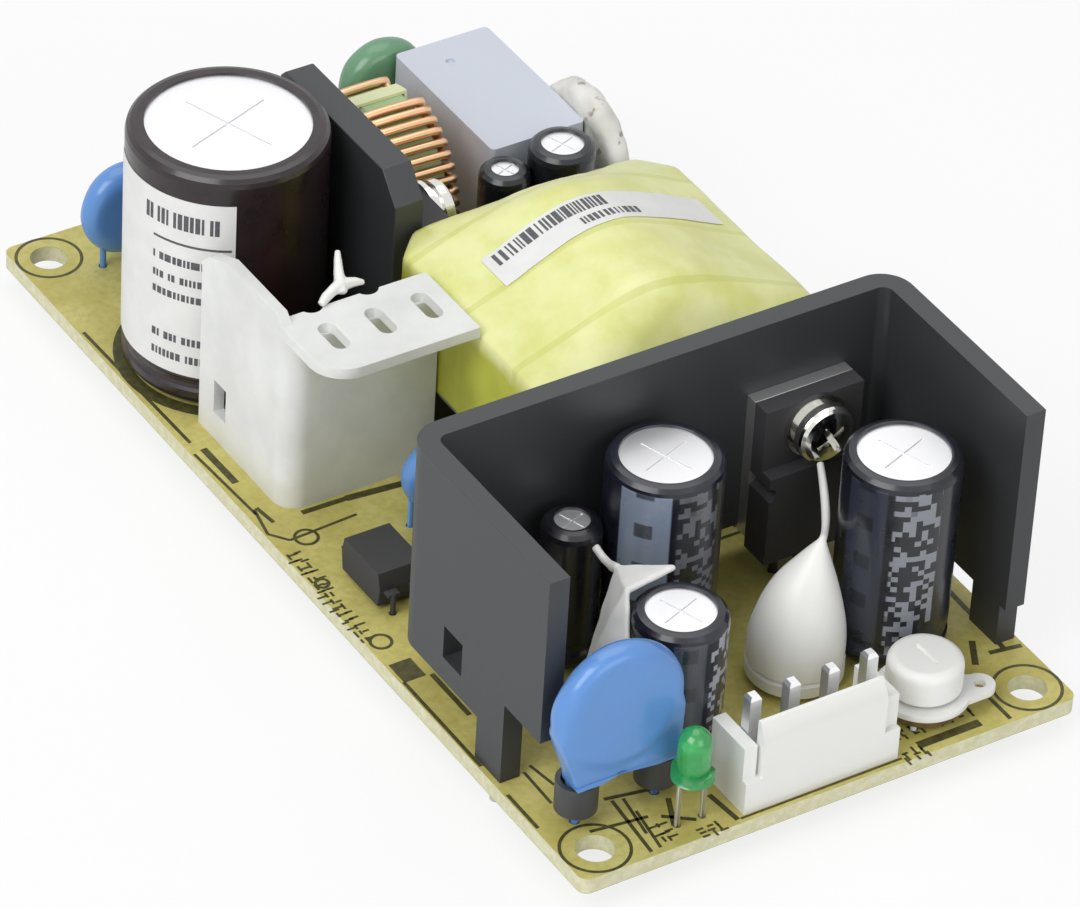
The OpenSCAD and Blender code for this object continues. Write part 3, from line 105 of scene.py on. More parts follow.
class Tree:
    """A material's node tree, built one node at a time around its Principled shader."""

    def __init__(self, name: str) -> None:
        """Start an empty material.

        Args:
            name: The material's name.
        """
        self.material = bpy.data.materials.new(name)
        self.material.use_nodes = True
        self.nodes = self.material.node_tree.nodes
        self.links = self.material.node_tree.links
        self.shader = self.nodes["Principled BSDF"]
        self.place = self.node("ShaderNodeTexCoord").outputs["Object"]

    def node(self, kind: str, settings: dict[str, Any] | None = None,
             inputs: dict[Any, Any] | None = None) -> bpy.types.Node:
        """Add a node.

        Args:
            kind: The node's type name.
            settings: Properties to set on it.
            inputs: Values or sockets for its inputs, by name or number.

        Returns:
            The new node.
        """
        made = self.nodes.new(kind)
        for key, value in (settings or {}).items():
            setattr(made, key, value)
        for key, value in (inputs or {}).items():
            self.feed(made.inputs[key], value)
        return made

    def feed(self, socket: bpy.types.NodeSocket, value: Any) -> None:
        """Give a socket a link or a plain value.

        Args:
            socket: The input to fill.
            value: An output socket, a number or a colour.
        """
        if isinstance(value, bpy.types.NodeSocket):
            self.links.new(value, socket)
        elif isinstance(value, tuple) and len(value) == 3 and socket.type == "RGBA":
            socket.default_value = (*value, 1.0)
        else:
            socket.default_value = value

    def set(self, **values: Any) -> None:
        """Fill inputs of the Principled shader; an underscore in a name stands for a space."""
        for key, value in values.items():
            self.feed(self.shader.inputs[key.replace("_", " ")], value)

    def moved(self, centre: Vector, scale: Sequence[float] = (1, 1, 1),
              turn: Sequence[float] = (0, 0, 0)) -> Any:
        """Object coordinates measured from a point.

        Args:
            centre: The new origin.
            scale: Stretch of the pattern along each axis.
            turn: Turn about each axis, in radians.

        Returns:
            The vector socket.
        """
        back = self.node("ShaderNodeVectorMath", {"operation": "SUBTRACT"}, {0: self.place, 1: tuple(centre)})
        return self.node("ShaderNodeMapping", {}, {
            "Vector": back.outputs[0], "Scale": tuple(scale), "Rotation": tuple(turn)}).outputs[0]

    def noise(self, size: float, detail: float = 3.0) -> Any:
        """Soft noise with lumps about `size` metres across; returns its value socket."""
        return self.node("ShaderNodeTexNoise", {}, {
            "Vector": self.place, "Scale": 1.0 / size, "Detail": detail,
            "Roughness": NOISE_ROUGHNESS}).outputs["Fac"]

    def clouds(self, size: float, detail: float = 3.0) -> Any:
        """Noise stretched over the whole range from 0 to 1; returns its socket."""
        return self.fade(self.noise(size, detail), 0.3, 0.7)

    def math(self, operation: str, first: Any, second: Any = 0.0, third: Any = 0.0) -> Any:
        """One arithmetic step; returns its value socket."""
        return self.node("ShaderNodeMath", {"operation": operation}, {0: first, 1: second, 2: third}).outputs[0]

    def times(self, first: Any, second: Any) -> Any:
        """The product of two values; returns its socket."""
        return self.math("MULTIPLY", first, second)

    def band(self, value: Any, low: float, high: float, soft: float) -> Any:
        """A mask that is 1 between two values.

        Args:
            value: The value to test.
            low: Lower limit.
            high: Upper limit.
            soft: Width of the soft edge.

        Returns:
            The mask's socket.
        """
        rise = self.fade(value, low - soft, low + soft)
        fall = self.fade(value, high + soft, high - soft)
        return self.times(rise, fall)

    def fade(self, value: Any, start: float, end: float, low: float = 0.0, high: float = 1.0) -> Any:
        """A smooth ramp of `value` from `low` at start to `high` at end; returns its socket."""
        return self.node("ShaderNodeMapRange", {"interpolation_type": "SMOOTHSTEP"}, {
            "Value": value, "From Min": start, "From Max": end,
            "To Min": low, "To Max": high}).outputs["Result"]

    def mix(self, amount: Any, first: Any, second: Any) -> Any:
        """Blend two colours.

        Args:
            amount: Share of the second colour.
            first: The first colour.
            second: The second colour.

        Returns:
            The colour socket.
        """
        node = self.nodes.new("ShaderNodeMix")
        node.data_type = "RGBA"
        self.feed(node.inputs[0], amount)
        self.feed(node.inputs[6], first)
        self.feed(node.inputs[7], second)
        return node.outputs[2]

    def split(self, vector: Any) -> tuple[Any, Any, Any]:
        """The three parts of a vector, as sockets."""
        parts = self.node("ShaderNodeSeparateXYZ", {}, {0: vector}).outputs
        return parts[0], parts[1], parts[2]

    def bump(self, height: Any, distance: float) -> None:
        """Raise the surface by a pattern of the given height in metres."""
        node = self.node("ShaderNodeBump", {}, {"Height": height, "Distance": distance, "Strength": 1.0})
        self.links.new(node.outputs[0], self.shader.inputs["Normal"])


@dataclass(frozen=True)
class Finish:
    """A plain finish: a colour and a gloss that drift a little, and a fine grain. Sizes are in millimetres."""

    name: str
    color: Color
    rough: float = 0.5
    metallic: float = 0.0
    coat: float = 0.0
    drift: float = 0.12
    drift_size: float = 4.0
    grain: float = 0.01
    grain_size: float = 0.25
    clear: float = 0.0
    through: float = 0.0
    gloss: float = 0.5

    def tree(self) -> Tree:
        """Build the finish's node tree.

        Returns:
            The tree, open for further nodes.
        """
        tree = Tree(self.name)
        dark = tuple(c * (1 - self.drift) for c in self.color)
        light = tuple(min(1.0, c * (1 + self.drift)) for c in self.color)
        tree.set(Base_Color=tree.mix(tree.clouds(self.drift_size * MM), dark, light))
        tree.set(Roughness=tree.fade(tree.noise(self.drift_size * MM * 0.6), 0.25, 0.75,
                                     self.rough - GLOSS_DRIFT, self.rough + GLOSS_DRIFT))
        tree.set(Metallic=self.metallic, Coat_Weight=self.coat, Transmission_Weight=self.clear)
        tree.set(Specular_IOR_Level=self.gloss)
        if self.through:
            tree.set(Subsurface_Weight=self.through, Subsurface_Radius=(1.0, 0.9, 0.7),
                     Subsurface_Scale=1.2 * MM)
        tree.bump(tree.noise(self.grain_size * MM, 2.0), self.grain * MM)
        return tree

    def material(self) -> bpy.types.Material:
        """The finish as a material, made once."""
        return bpy.data.materials.get(self.name) or self.tree().material


SOLDER = Finish("solder", (0.62, 0.63, 0.65), 0.22, 1.0, drift=0.1, drift_size=1, grain=0.02)
ANODISED = Finish("black_anodised", (0.010, 0.012, 0.014), 0.42, drift=0.3, drift_size=7, grain=0.004,
                  grain_size=0.12, gloss=0.35)
TINNED = Finish("tinned_steel", (0.80, 0.80, 0.78), 0.34, 0.8, drift=0.06, drift_size=1)
BLACK_MOULDING = Finish("black_moulding", (0.008, 0.008, 0.010), 0.5, drift=0.3, drift_size=2, grain=0.012,
                        grain_size=0.2, gloss=0.3)
BARE_METAL = Finish("bare_metal", (0.62, 0.62, 0.60), 0.3, 1.0, drift=0.1, drift_size=2)
NICKEL = Finish("nickel", (0.72, 0.69, 0.60), 0.24, 1.0, drift=0.12, drift_size=1, grain=0.01)
CAN_TOP = Finish("can_aluminium", (0.80, 0.80, 0.81), 0.4, 0.85, drift=0.1, drift_size=2.5, grain=0.012,
                 grain_size=0.6)
FERRITE_WHITE = Finish("white_ferrite", (0.72, 0.72, 0.66), 0.6, drift=0.1)
ENAMEL = Finish("enamelled_wire", (0.86, 0.47, 0.24), 0.3, 0.55, coat=0.5, drift=0.16, drift_size=1.5)
GLUE = Finish("white_glue", (0.84, 0.84, 0.79), 0.4, coat=0.15, drift=0.04, drift_size=3, grain=0.04,
              grain_size=1.4, through=0.25)
NYLON = Finish("white_nylon", (0.84, 0.84, 0.81), 0.42, drift=0.03, drift_size=3, grain=0.006, through=0.2)
COVER_WHITE = Finish("cover_white", (0.78, 0.79, 0.77), 0.4, drift=0.06, drift_size=6, grain=0.015,
                     grain_size=0.7, through=0.12)
BLUE = Finish("blue_epoxy", (0.016, 0.070, 0.40), 0.3, coat=0.25, drift=0.14, drift_size=3, grain=0.02,
              grain_size=1.2)
TUBE_BLACK = Finish("black_tube", (0.016, 0.016, 0.022), 0.45, drift=0.25, drift_size=1.5, grain=0.01)
CORE_GREY = Finish("ferrite", (0.03, 0.03, 0.033), 0.6, drift=0.2)
BROWN = Finish("brown_epoxy", (0.23, 0.06, 0.03), 0.25, coat=0.4, drift=0.15, drift_size=2)
RESISTOR = Finish("blue_grey_lacquer", (0.25, 0.32, 0.36), 0.35, coat=0.3)
CORE_GREEN = Finish("green_coating", (0.36, 0.47, 0.12), 0.4, drift=0.2, drift_size=2)
PALE_TAPE = Finish("pale_tape", (0.70, 0.78, 0.36), 0.4, drift=0.15, drift_size=2)
CASE_GREY = Finish("grey_case", (0.50, 0.55, 0.64), 0.42, drift=0.04, drift_size=5, grain=0.008)
DARK_GREEN = Finish("dark_green_epoxy", (0.035, 0.16, 0.055), 0.35, coat=0.3, drift=0.2, drift_size=2)
INK_AND_SHADOW = Finish("dark_ink_and_painted_shadow", (0.060, 0.055, 0.012), 0.6, drift=0.35, drift_size=0.6)
PAPER = Finish("label_paper", (0.80, 0.80, 0.79), 0.5, drift=0.03, drift_size=3)
PRINT = Finish("label_print", (0.09, 0.09, 0.10), 0.6, drift=0.2, drift_size=0.5)
PHENOLIC = Finish("brown_phenolic", (0.16, 0.11, 0.04), 0.5, drift=0.2, drift_size=1)
LED_LENS = Finish("green_lens", (0.06, 0.62, 0.16), 0.14, drift=0.08, drift_size=1, coat=0.3, clear=0.5)

# Finishes that a node keeps as it is. The board and the capacitor sleeves are dressed elsewhere;
# the other nodes left out of this table are replaced by finer pieces.
NODE_FINISH: dict[Finish, tuple[str, ...]] = {
    SOLDER: ("solder_joints",),
    TINNED: ("heatsink_pins", "output_posts", "input_posts"),
    BLACK_MOULDING: ("control_chip", "chip_parts", "transformer_bobbin"),
    NICKEL: ("rectifier_screw", "switch_screw"),
    CAN_TOP: ("output_cap_1", "output_cap_2", "output_cap_3", "output_cap_4", "bulk_capacitor", "filter_cap_1",
              "filter_cap_2"),
    FERRITE_WHITE: ("drum_core",),
    ENAMEL: ("drum_winding",),
    TUBE_BLACK: ("lead_tubes",),
    CORE_GREY: ("transformer_core_near", "transformer_core_far"),
    RESISTOR: ("snubber_resistor",),
    CORE_GREEN: ("choke_core",),
    PALE_TAPE: ("choke_divider", "transformer_winding"),
}


def dress_nodes() -> None:
    """Give every node that stays its finish."""
    for finish, names in NODE_FINISH.items():
        for name in names:
            wear(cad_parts[name], finish.material())
    wear(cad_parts["board"], laminate())
    log.info("nodes: %d kept", sum(len(names) for names in NODE_FINISH.values()) + 1)


def wear(piece: bpy.types.Object, material: bpy.types.Material) -> None:
    """Dress a piece in one material."""
    piece.data.materials.clear()
    piece.data.materials.append(material)


def laminate() -> bpy.types.Material:
    """The board: mottled yellow resin on top, pale cut edges, and masked copper tracks underneath.

    Returns:
        The material.
    """
    tree = Tree("laminate")
    height = tree.split(tree.place)[2]
    cloud = tree.clouds(6 * MM, 5.0)
    speck = tree.fade(tree.noise(0.7 * MM, 3.0), 0.35, 0.75)
    resin = tree.mix(cloud, (0.50, 0.44, 0.115), (0.64, 0.58, 0.20))
    resin = tree.mix(tree.times(speck, 0.45), resin, (0.40, 0.35, 0.07))
    pale = tree.mix(speck, (0.66, 0.64, 0.40), (0.78, 0.76, 0.56))
    tracks = tree.node("ShaderNodeTexVoronoi", {"feature": "DISTANCE_TO_EDGE"}, {
        "Vector": tree.moved(Vector((0, 0, 0)), (1, 1, 0)), "Scale": 1 / (7 * MM)}).outputs["Distance"]
    copper = tree.mix(tree.fade(tracks, 0.05, 0.07), (0.20, 0.22, 0.04), (0.34, 0.36, 0.07))
    color = tree.mix(tree.band(height, 0.05 * MM, 1.56 * MM, 0.02 * MM), resin, pale)
    tree.set(Base_Color=tree.mix(tree.fade(height, 0.04 * MM, 0.02 * MM), color, copper))
    tree.set(Roughness=tree.fade(cloud, 0.0, 1.0, 0.38, 0.5), Specular_IOR_Level=0.4)
    tree.bump(tree.noise(0.5 * MM, 2.0), 0.012 * MM)
    return tree.material


# Shaping


class Form:
    """A shape built with mesh operators and then hung in the scene."""

    MERGE = 0.002 * MM
    FLAT = math.radians(1.0)

    def __init__(self, node: str | None = None) -> None:
        """Start empty, or from a copy of a node's mesh with its doubles merged and its flat faces joined.

        Args:
            node: The node to copy, or None.
        """
        self.bm = bmesh.new()
        if node:
            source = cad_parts[node]
            self.bm.from_mesh(source.data)
            self.bm.transform(source.matrix_world)
            bmesh.ops.remove_doubles(self.bm, verts=self.bm.verts, dist=self.MERGE)
            bmesh.ops.dissolve_limit(self.bm, angle_limit=self.FLAT, verts=self.bm.verts,
                                     edges=self.bm.edges)
            bmesh.ops.recalc_face_normals(self.bm, faces=self.bm.faces)

    def take(self, mesh: bpy.types.Mesh) -> "Form":
        """Add a mesh to the shape; returns the form."""
        self.bm.from_mesh(mesh)
        return self

    def soften(self, width: float, sharp: float = 32.0) -> "Form":
        """Round every edge sharper than an angle.

        Args:
            width: Width of the rounding.
            sharp: Smallest angle that is rounded, in degrees.

        Returns:
            The form.
        """
        limit = math.radians(sharp)
        edges = [e for e in self.bm.edges
                 if e.is_manifold and e.calc_face_angle(0.0) > limit and e.calc_length() > 0.3 * width]
        bmesh.ops.bevel(self.bm, geom=edges, offset=width, offset_type="OFFSET", segments=2, profile=0.5,
                        affect="EDGES", clamp_overlap=True, material=-1)
        bmesh.ops.recalc_face_normals(self.bm, faces=self.bm.faces)
        return self

    def block(self, low: Sequence[float], high: Sequence[float], turn: float = 0.0) -> None:
        """Add a box between two corners.

        Args:
            low: Lower corner, in millimetres.
            high: Upper corner, in millimetres.
            turn: Turn about the vertical through its middle, in radians.
        """
        size = [upper - lower for lower, upper in zip(low, high)]
        centre = Vector([(upper + lower) / 2 for lower, upper in zip(low, high)]) * MM
        bmesh.ops.create_cube(self.bm, size=MM, matrix=Matrix.Translation(centre)
                              @ Matrix.Rotation(turn, 4, "Z") @ Matrix.Diagonal((*size, 1.0)))

    def turned(self, outline: Sequence[tuple[float, float]], centre: Vector, steps: int) -> "Form":
        """Add a full turning of an outline about a vertical axis.

        Args:
            outline: Radius and height of each point, in millimetres.
            centre: Foot of the axis, in metres.
            steps: Faces around.

        Returns:
            The form.
        """
        verts = [self.bm.verts.new(centre + Vector((r * MM, 0, z * MM))) for r, z in outline]
        edges = [self.bm.edges.new(pair) for pair in zip(verts, verts[1:])]
        bmesh.ops.spin(self.bm, geom=verts + edges, cent=centre, axis=UP, angle=math.tau, steps=steps,
                       use_merge=True)
        bmesh.ops.remove_doubles(self.bm, verts=self.bm.verts, dist=0.0005 * MM)
        bmesh.ops.recalc_face_normals(self.bm, faces=self.bm.faces)
        return self

    def cut_at(self, height: float, kept: Part) -> "Form":
        """Cut the shape level and close the cut.

        Args:
            height: Level of the cut.
            kept: The part that stays.

        Returns:
            The form.
        """
        geometry = self.bm.verts[:] + self.bm.edges[:] + self.bm.faces[:]
        bmesh.ops.bisect_plane(self.bm, geom=geometry, plane_co=(0, 0, height), plane_no=UP,
                               clear_inner=kept is Part.UPPER, clear_outer=kept is Part.LOWER)
        bmesh.ops.holes_fill(self.bm, edges=[e for e in self.bm.edges if e.is_boundary])
        return self

    def melt(self, voxel: float, passes: int) -> "Form":
        """Fuse the shape into one skin and relax it.

        Args:
            voxel: Grain of the skin.
            passes: How often it is relaxed.

        Returns:
            The form.
        """
        mesh = bpy.data.meshes.new("melt")
        self.bm.to_mesh(mesh)
        holder = enter("melt", mesh)
        skin = holder.modifiers.new("skin", "REMESH")
        skin.mode = "VOXEL"
        skin.voxel_size = voxel
        relax = holder.modifiers.new("relax", "SMOOTH")
        relax.iterations = passes
        view = bpy.context.evaluated_depsgraph_get()
        result = bpy.data.meshes.new_from_object(holder.evaluated_get(view))
        self.bm.clear()
        self.bm.from_mesh(result)
        bpy.data.objects.remove(holder)
        bpy.data.meshes.remove(mesh)
        bpy.data.meshes.remove(result)
        return self

    def ripple(self, height: Callable[[Vector], float]) -> "Form":
        """Move every vertex along its normal by a height given for its place; returns the form."""
        self.bm.normal_update()
        for vert in self.bm.verts:
            vert.co += vert.normal * height(vert.co)
        return self

    def hang(self, name: str, material: bpy.types.Material, body: str = SUPPLY,
             stands_for: Sequence[str] = (), smooth: float = 35.0) -> bpy.types.Object:
        """Turn the shape into a piece of the scene.

        Args:
            name: The piece's name.
            material: What it is made of.
            body: The body it rides on.
            stands_for: Nodes it replaces.
            smooth: Edges sharper than this many degrees stay sharp.

        Returns:
            The piece.
        """
        mesh = bpy.data.meshes.new(name)
        for face in self.bm.faces:
            face.smooth = True
        self.bm.to_mesh(mesh)
        self.bm.free()
        mesh.set_sharp_from_angle(angle=math.radians(smooth))
        mesh.materials.append(material)
        piece = enter(name, mesh)
        even = piece.modifiers.new("even_normals", "WEIGHTED_NORMAL")
        even.keep_sharp = True
        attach(piece, body)
        if stands_for:
            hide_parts(*stands_for)
        log.info("%s: %d faces", name, len(mesh.polygons))
        return piece


def middle(node: str) -> Vector:
    """The middle of a node's box."""
    low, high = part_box(node)
    return (Vector(low) + Vector(high)) / 2


def curve_through(points: Sequence[Vector], steps: int) -> list[Vector]:
    """Points on a smooth curve through the given ones.

    Args:
        points: The points passed.
        steps: Pieces between two of them.

    Returns:
        The finer row of points.
    """
    row = []
    for i in range(len(points) - 1):
        a, b = points[max(i - 1, 0)], points[i]
        c, d = points[i + 1], points[min(i + 2, len(points) - 1)]
        for k in range(steps):
            t = k / steps
            row.append(0.5 * (2 * b + (c - a) * t + (2 * a - 5 * b + 4 * c - d) * t * t
                              + (3 * b - a - 3 * c + d) * t ** 3))
    return row + [points[-1]]


def strand(points: Sequence[Vector], radii: Sequence[float], sides: int) -> bpy.types.Mesh:
    """A round strand along a row of points.

    Args:
        points: The row, in metres.
        radii: Radius at each point, in metres.
        sides: Quarter of the faces around it.

    Returns:
        The mesh.
    """
    curve = bpy.data.curves.new("strand", "CURVE")
    curve.dimensions = "3D"
    curve.bevel_depth = 1.0
    curve.bevel_resolution = sides - 1
    curve.use_fill_caps = True
    run = curve.splines.new("POLY")
    run.points.add(len(points) - 1)
    for slot, point, radius in zip(run.points, points, radii):
        slot.co = (*point, 1.0)
        slot.radius = radius
    holder = enter("strand", curve)
    mesh = bpy.data.meshes.new_from_object(holder.evaluated_get(bpy.context.evaluated_depsgraph_get()))
    bpy.data.objects.remove(holder)
    bpy.data.curves.remove(curve)
    return mesh


# Assemblies


@dataclass
class MouldedParts:
    """Rigid nodes whose edges are rounded a little, so that they catch the light."""

    widths: dict[str, tuple[float, Finish]] = field(default_factory=lambda: {
        "output_heatsink": (0.22, ANODISED), "primary_heatsink": (0.25, ANODISED),
        "output_rectifier": (0.14, BLACK_MOULDING), "rectifier_plate": (0.08, BARE_METAL),
        "switch_transistor": (0.12, BLACK_MOULDING), "cover": (0.3, COVER_WHITE),
        "optocoupler": (0.1, BLACK_MOULDING), "bridge_rectifier": (0.25, BLACK_MOULDING),
        "fuse": (0.2, BLACK_MOULDING), "film_capacitor": (0.3, CASE_GREY), "snubber_capacitor": (0.35, BROWN),
        "input_connector": (0.18, NYLON), "output_connector": (0.2, NYLON),
    })

    def build(self) -> None:
        """Hang every softened part."""
        for node, (width, finish) in self.widths.items():
            Form(node).soften(width * MM).hang(node + "_moulded", finish.material(), stands_for=(node,))


@dataclass
class BoardPrintAndShadow:
    """Dark marks on the board: lines, blocks, rings and rows of small plain marks.

    Most are print; some lines and a block are painted shadow.
    """

    skin: float = 0.002
    ink: float = 0.02
    ring_width: float = 0.3
    hole_at: tuple[float, float] = (22.22, 47.62)
    hole_ring: float = 2.9
    foot_ring: tuple[float, float] = (-0.6, 0.75)
    lines: tuple[tuple[tuple[float, float], tuple[float, float], float], ...] = (
        ((-25.1, -21.1), (-25.1, -33.9), 0.35), ((-25.1, -38.2), (-25.1, -43.1), 0.35),
        ((-22.4, -21.3), (-22.4, -27.6), 0.5), ((-22.3, -36.3), (-22.4, -40.9), 0.3),
        # Painted shadow along the cover's foot: the last line of this row and the first two of the next.
        ((-21.4, -35.8), (-20.9, -39.0), 0.3), ((-24.1, 6.0), (-23.8, 3.5), 0.4),
        ((-20.9, 3.5), (-16.4, 3.4), 0.6), ((-16.4, 3.4), (-7.0, 2.5), 0.8), ((-25.1, 2.3), (-23.8, 0.6), 0.3),
        ((-23.8, 0.6), (-16.7, 1.0), 0.3), ((-24.4, 5.9), (-25.1, 2.3), 0.3),
        ((-24.0, 15.7), (-23.9, 10.0), 0.7), ((-25.1, 15.4), (-24.6, 5.2), 0.3),
        ((-21.5, -45.6), (-16.1, -46.3), 0.35),
        ((-17.7, -43.1), (-18.3, -50.3), 0.35), ((-16.7, -43.3), (-17.4, -48.1), 0.3),
        ((-16.6, -45.2), (-17.3, -50.2), 0.3), ((-18.2, -42.6), (-13.5, -43.5), 0.4),
        ((-10.0, -46.4), (-9.6, -50.3), 0.5), ((23.9, -30.1), (23.5, -42.1), 0.5),
        ((22.0, -42.1), (25.1, -42.6), 0.5), ((21.6, -40.0), (20.0, -42.9), 0.6),
        ((18.5, -47.2), (18.5, -50.4), 0.4), ((-15.1, -46.8), (-12.7, -48.6), 0.4),
        ((-13.3, -45.1), (-14.8, -48.4), 0.5), ((-9.3, -50.3), (7.2, -50.3), 0.25),
        ((-24.6, 17.0), (-25.0, 36.0), 0.35), ((-6.0, -17.4), (22.0, -17.4), 0.35),
    )
    blocks: tuple[tuple[float, float, float, float], ...] = (
        # Painted shadow with print: the second block, in front of the trimmer, is its outline and its shadow.
        (-25.1, -21.2, -22.9, -18.5), (9.4, -50.0, 15.9, -49.1),
    )
    rings: tuple[tuple[float, float, float], ...] = (
        (-22.3, 0.3, 0.9), (-24.4, -6.0, 0.45), (-24.0, -15.4, 0.8),
    )
    rows: tuple[tuple[float, float, float, int], ...] = (
        (-24.9, -14.6, 90.0, 8), (-24.6, -1.2, -90.0, 7), (8.0, -47.6, 0.0, 9), (7.4, -50.4, 0.0, 3),
        (-16.0, -49.8, 90.0, 3), (-13.4, -50.3, 0.0, 3), (-18.6, -13.6, 0.0, 5), (12.0, -16.0, 0.0, 6),
    )

    def build(self) -> None:
        """Draw the print and the painted shadow."""
        form = Form()
        low, high = BOARD_TOP + self.skin, BOARD_TOP + self.ink
        for (ax, ay), (bx, by), width in self.lines:
            length, turn = math.hypot(bx - ax, by - ay), math.atan2(by - ay, bx - ax)
            x, y = (ax + bx) / 2, (ay + by) / 2
            form.block((x - length / 2, y - width / 2, low), (x + length / 2, y + width / 2, high), turn)
        for x0, y0, x1, y1 in self.blocks:
            form.block((x0, y0, low), (x1, y1, high))
        chance = random.Random(7)
        for x, y, degrees, count in self.rows:
            self.marks(form, chance, Vector((x, y, 0)), math.radians(degrees), count, low, high)
        x, y = self.hole_at
        holes = tuple((u * x, v * y, self.hole_ring) for v in (-1, 1) for u in (-1, 1))
        for x, y, radius in holes + self.rings:
            self.ring(form, radius, radius + self.ring_width, Vector((x, y, low)) * MM, 40)
        # A dark ring round the large capacitor's foot.
        low_corner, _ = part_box("bulk_capacitor_sleeve")
        centre = middle("bulk_capacitor_sleeve")
        reach = (centre.x - low_corner[0]) / MM
        inner, outer = (reach + share for share in self.foot_ring)
        self.ring(form, inner, outer, Vector((centre.x, centre.y, low * MM)), 64)
        form.hang("board_print_and_painted_shadow", INK_AND_SHADOW.material())

    def ring(self, form: Form, inner: float, outer: float, centre: Vector, steps: int) -> None:
        """Draw a ring of ink.

        Args:
            form: Where it is drawn.
            inner: Inner radius, in millimetres.
            outer: Outer radius, in millimetres.
            centre: Its centre, in metres.
            steps: Faces around.
        """
        outline = [(inner, 0), (inner, self.ink), (outer, self.ink), (outer, 0), (inner, 0)]
        form.turned(outline, centre, steps)

    @staticmethod
    def marks(form: Form, chance: random.Random, start: Vector, turn: float, count: int, low: float,
              high: float) -> None:
        """Draw a row of small plain bars.

        Args:
            form: Where they are drawn.
            chance: Source of their lengths.
            start: First mark, in millimetres.
            turn: Direction of the row, in radians.
            count: Number of marks.
            low: Height of their underside.
            high: Height of their upper side.
        """
        along = Vector((math.cos(turn), math.sin(turn), 0))
        across = Vector((-along.y, along.x, 0))
        for i in range(count):
            for k in range(3):
                spot = start + along * (i * 0.95 + chance.uniform(0, 0.4)) + across * (k * 0.5 - 0.5)
                upright = chance.random() < 0.5
                if upright:
                    wide, tall = 0.12, chance.uniform(0.3, 0.55)
                else:
                    wide, tall = chance.uniform(0.25, 0.45), 0.12
                form.block((spot.x - wide, spot.y - tall, low), (spot.x + wide, spot.y + tall, high), turn)


PRINT_GREY: Color = (0.40, 0.42, 0.48)
MARKS_PER_RADIAN = 9.0
MARK_HEIGHT = 0.55 * MM
DASH_PITCH = 4.2 * MM


@dataclass(frozen=True)
class SleeveLook:
    """How a capacitor's sleeve is coloured and printed."""

    node: str
    color: Color
    stripe: Color
    stripe_at: float
    stripe_half: float
    print_share: float = 0.5

    def material(self) -> bpy.types.Material:
        """The sleeve's material: a drifting gloss, a stripe down one side and columns of plain marks.

        Returns:
            The material.
        """
        name = self.node + "_sleeve"
        tree = Tree(name)
        low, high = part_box(name)
        centre = middle(name)
        x, y, z = tree.split(tree.moved(centre, turn=(0, 0, -math.radians(self.stripe_at))))
        angle = tree.math("ARCTAN2", y, x)
        lumps = tree.clouds(2.5 * MM)
        base = tree.mix(lumps, tuple(0.75 * c for c in self.color), tuple(1.3 * c for c in self.color))
        half = math.radians(self.stripe_half)
        body_top = (high[2] - low[2]) / 2
        side = tree.band(z, -body_top + 1.2 * MM, body_top - 0.8 * MM, 0.05 * MM)
        stripe = tree.times(tree.band(angle, -half, half, 0.02), side)
        cell = tree.node("ShaderNodeCombineXYZ", {}, {
            0: tree.math("FLOOR", tree.times(angle, MARKS_PER_RADIAN)),
            1: tree.math("FLOOR", tree.math("DIVIDE", z, MARK_HEIGHT))}).outputs[0]
        chance = tree.node("ShaderNodeTexWhiteNoise", {"noise_dimensions": "2D"}, {"Vector": cell})
        columns = tree.times(tree.band(angle, half + 0.12, half + 0.95, 0.02), side)
        marks = tree.times(tree.fade(chance.outputs["Value"], 0.55, 0.57), columns)
        wave = tree.math("FRACT", tree.math("DIVIDE", z, DASH_PITCH))
        dash = tree.times(tree.band(wave, 0.15, 0.5, 0.02), tree.band(angle, -0.16, 0.16, 0.02))
        color = tree.mix(stripe, base, self.stripe)
        color = tree.mix(tree.times(marks, self.print_share), color, PRINT_GREY)
        color = tree.mix(tree.times(dash, tree.times(stripe, 0.8)), color, self.color)
        tree.set(Base_Color=color, Coat_Weight=0.35, Coat_Roughness=0.12)
        tree.set(Roughness=tree.math("MULTIPLY_ADD", lumps, 0.1, 0.26), Specular_IOR_Level=0.4)
        tree.bump(tree.noise(1.2 * MM, 2.0), 0.02 * MM)
        return tree.material


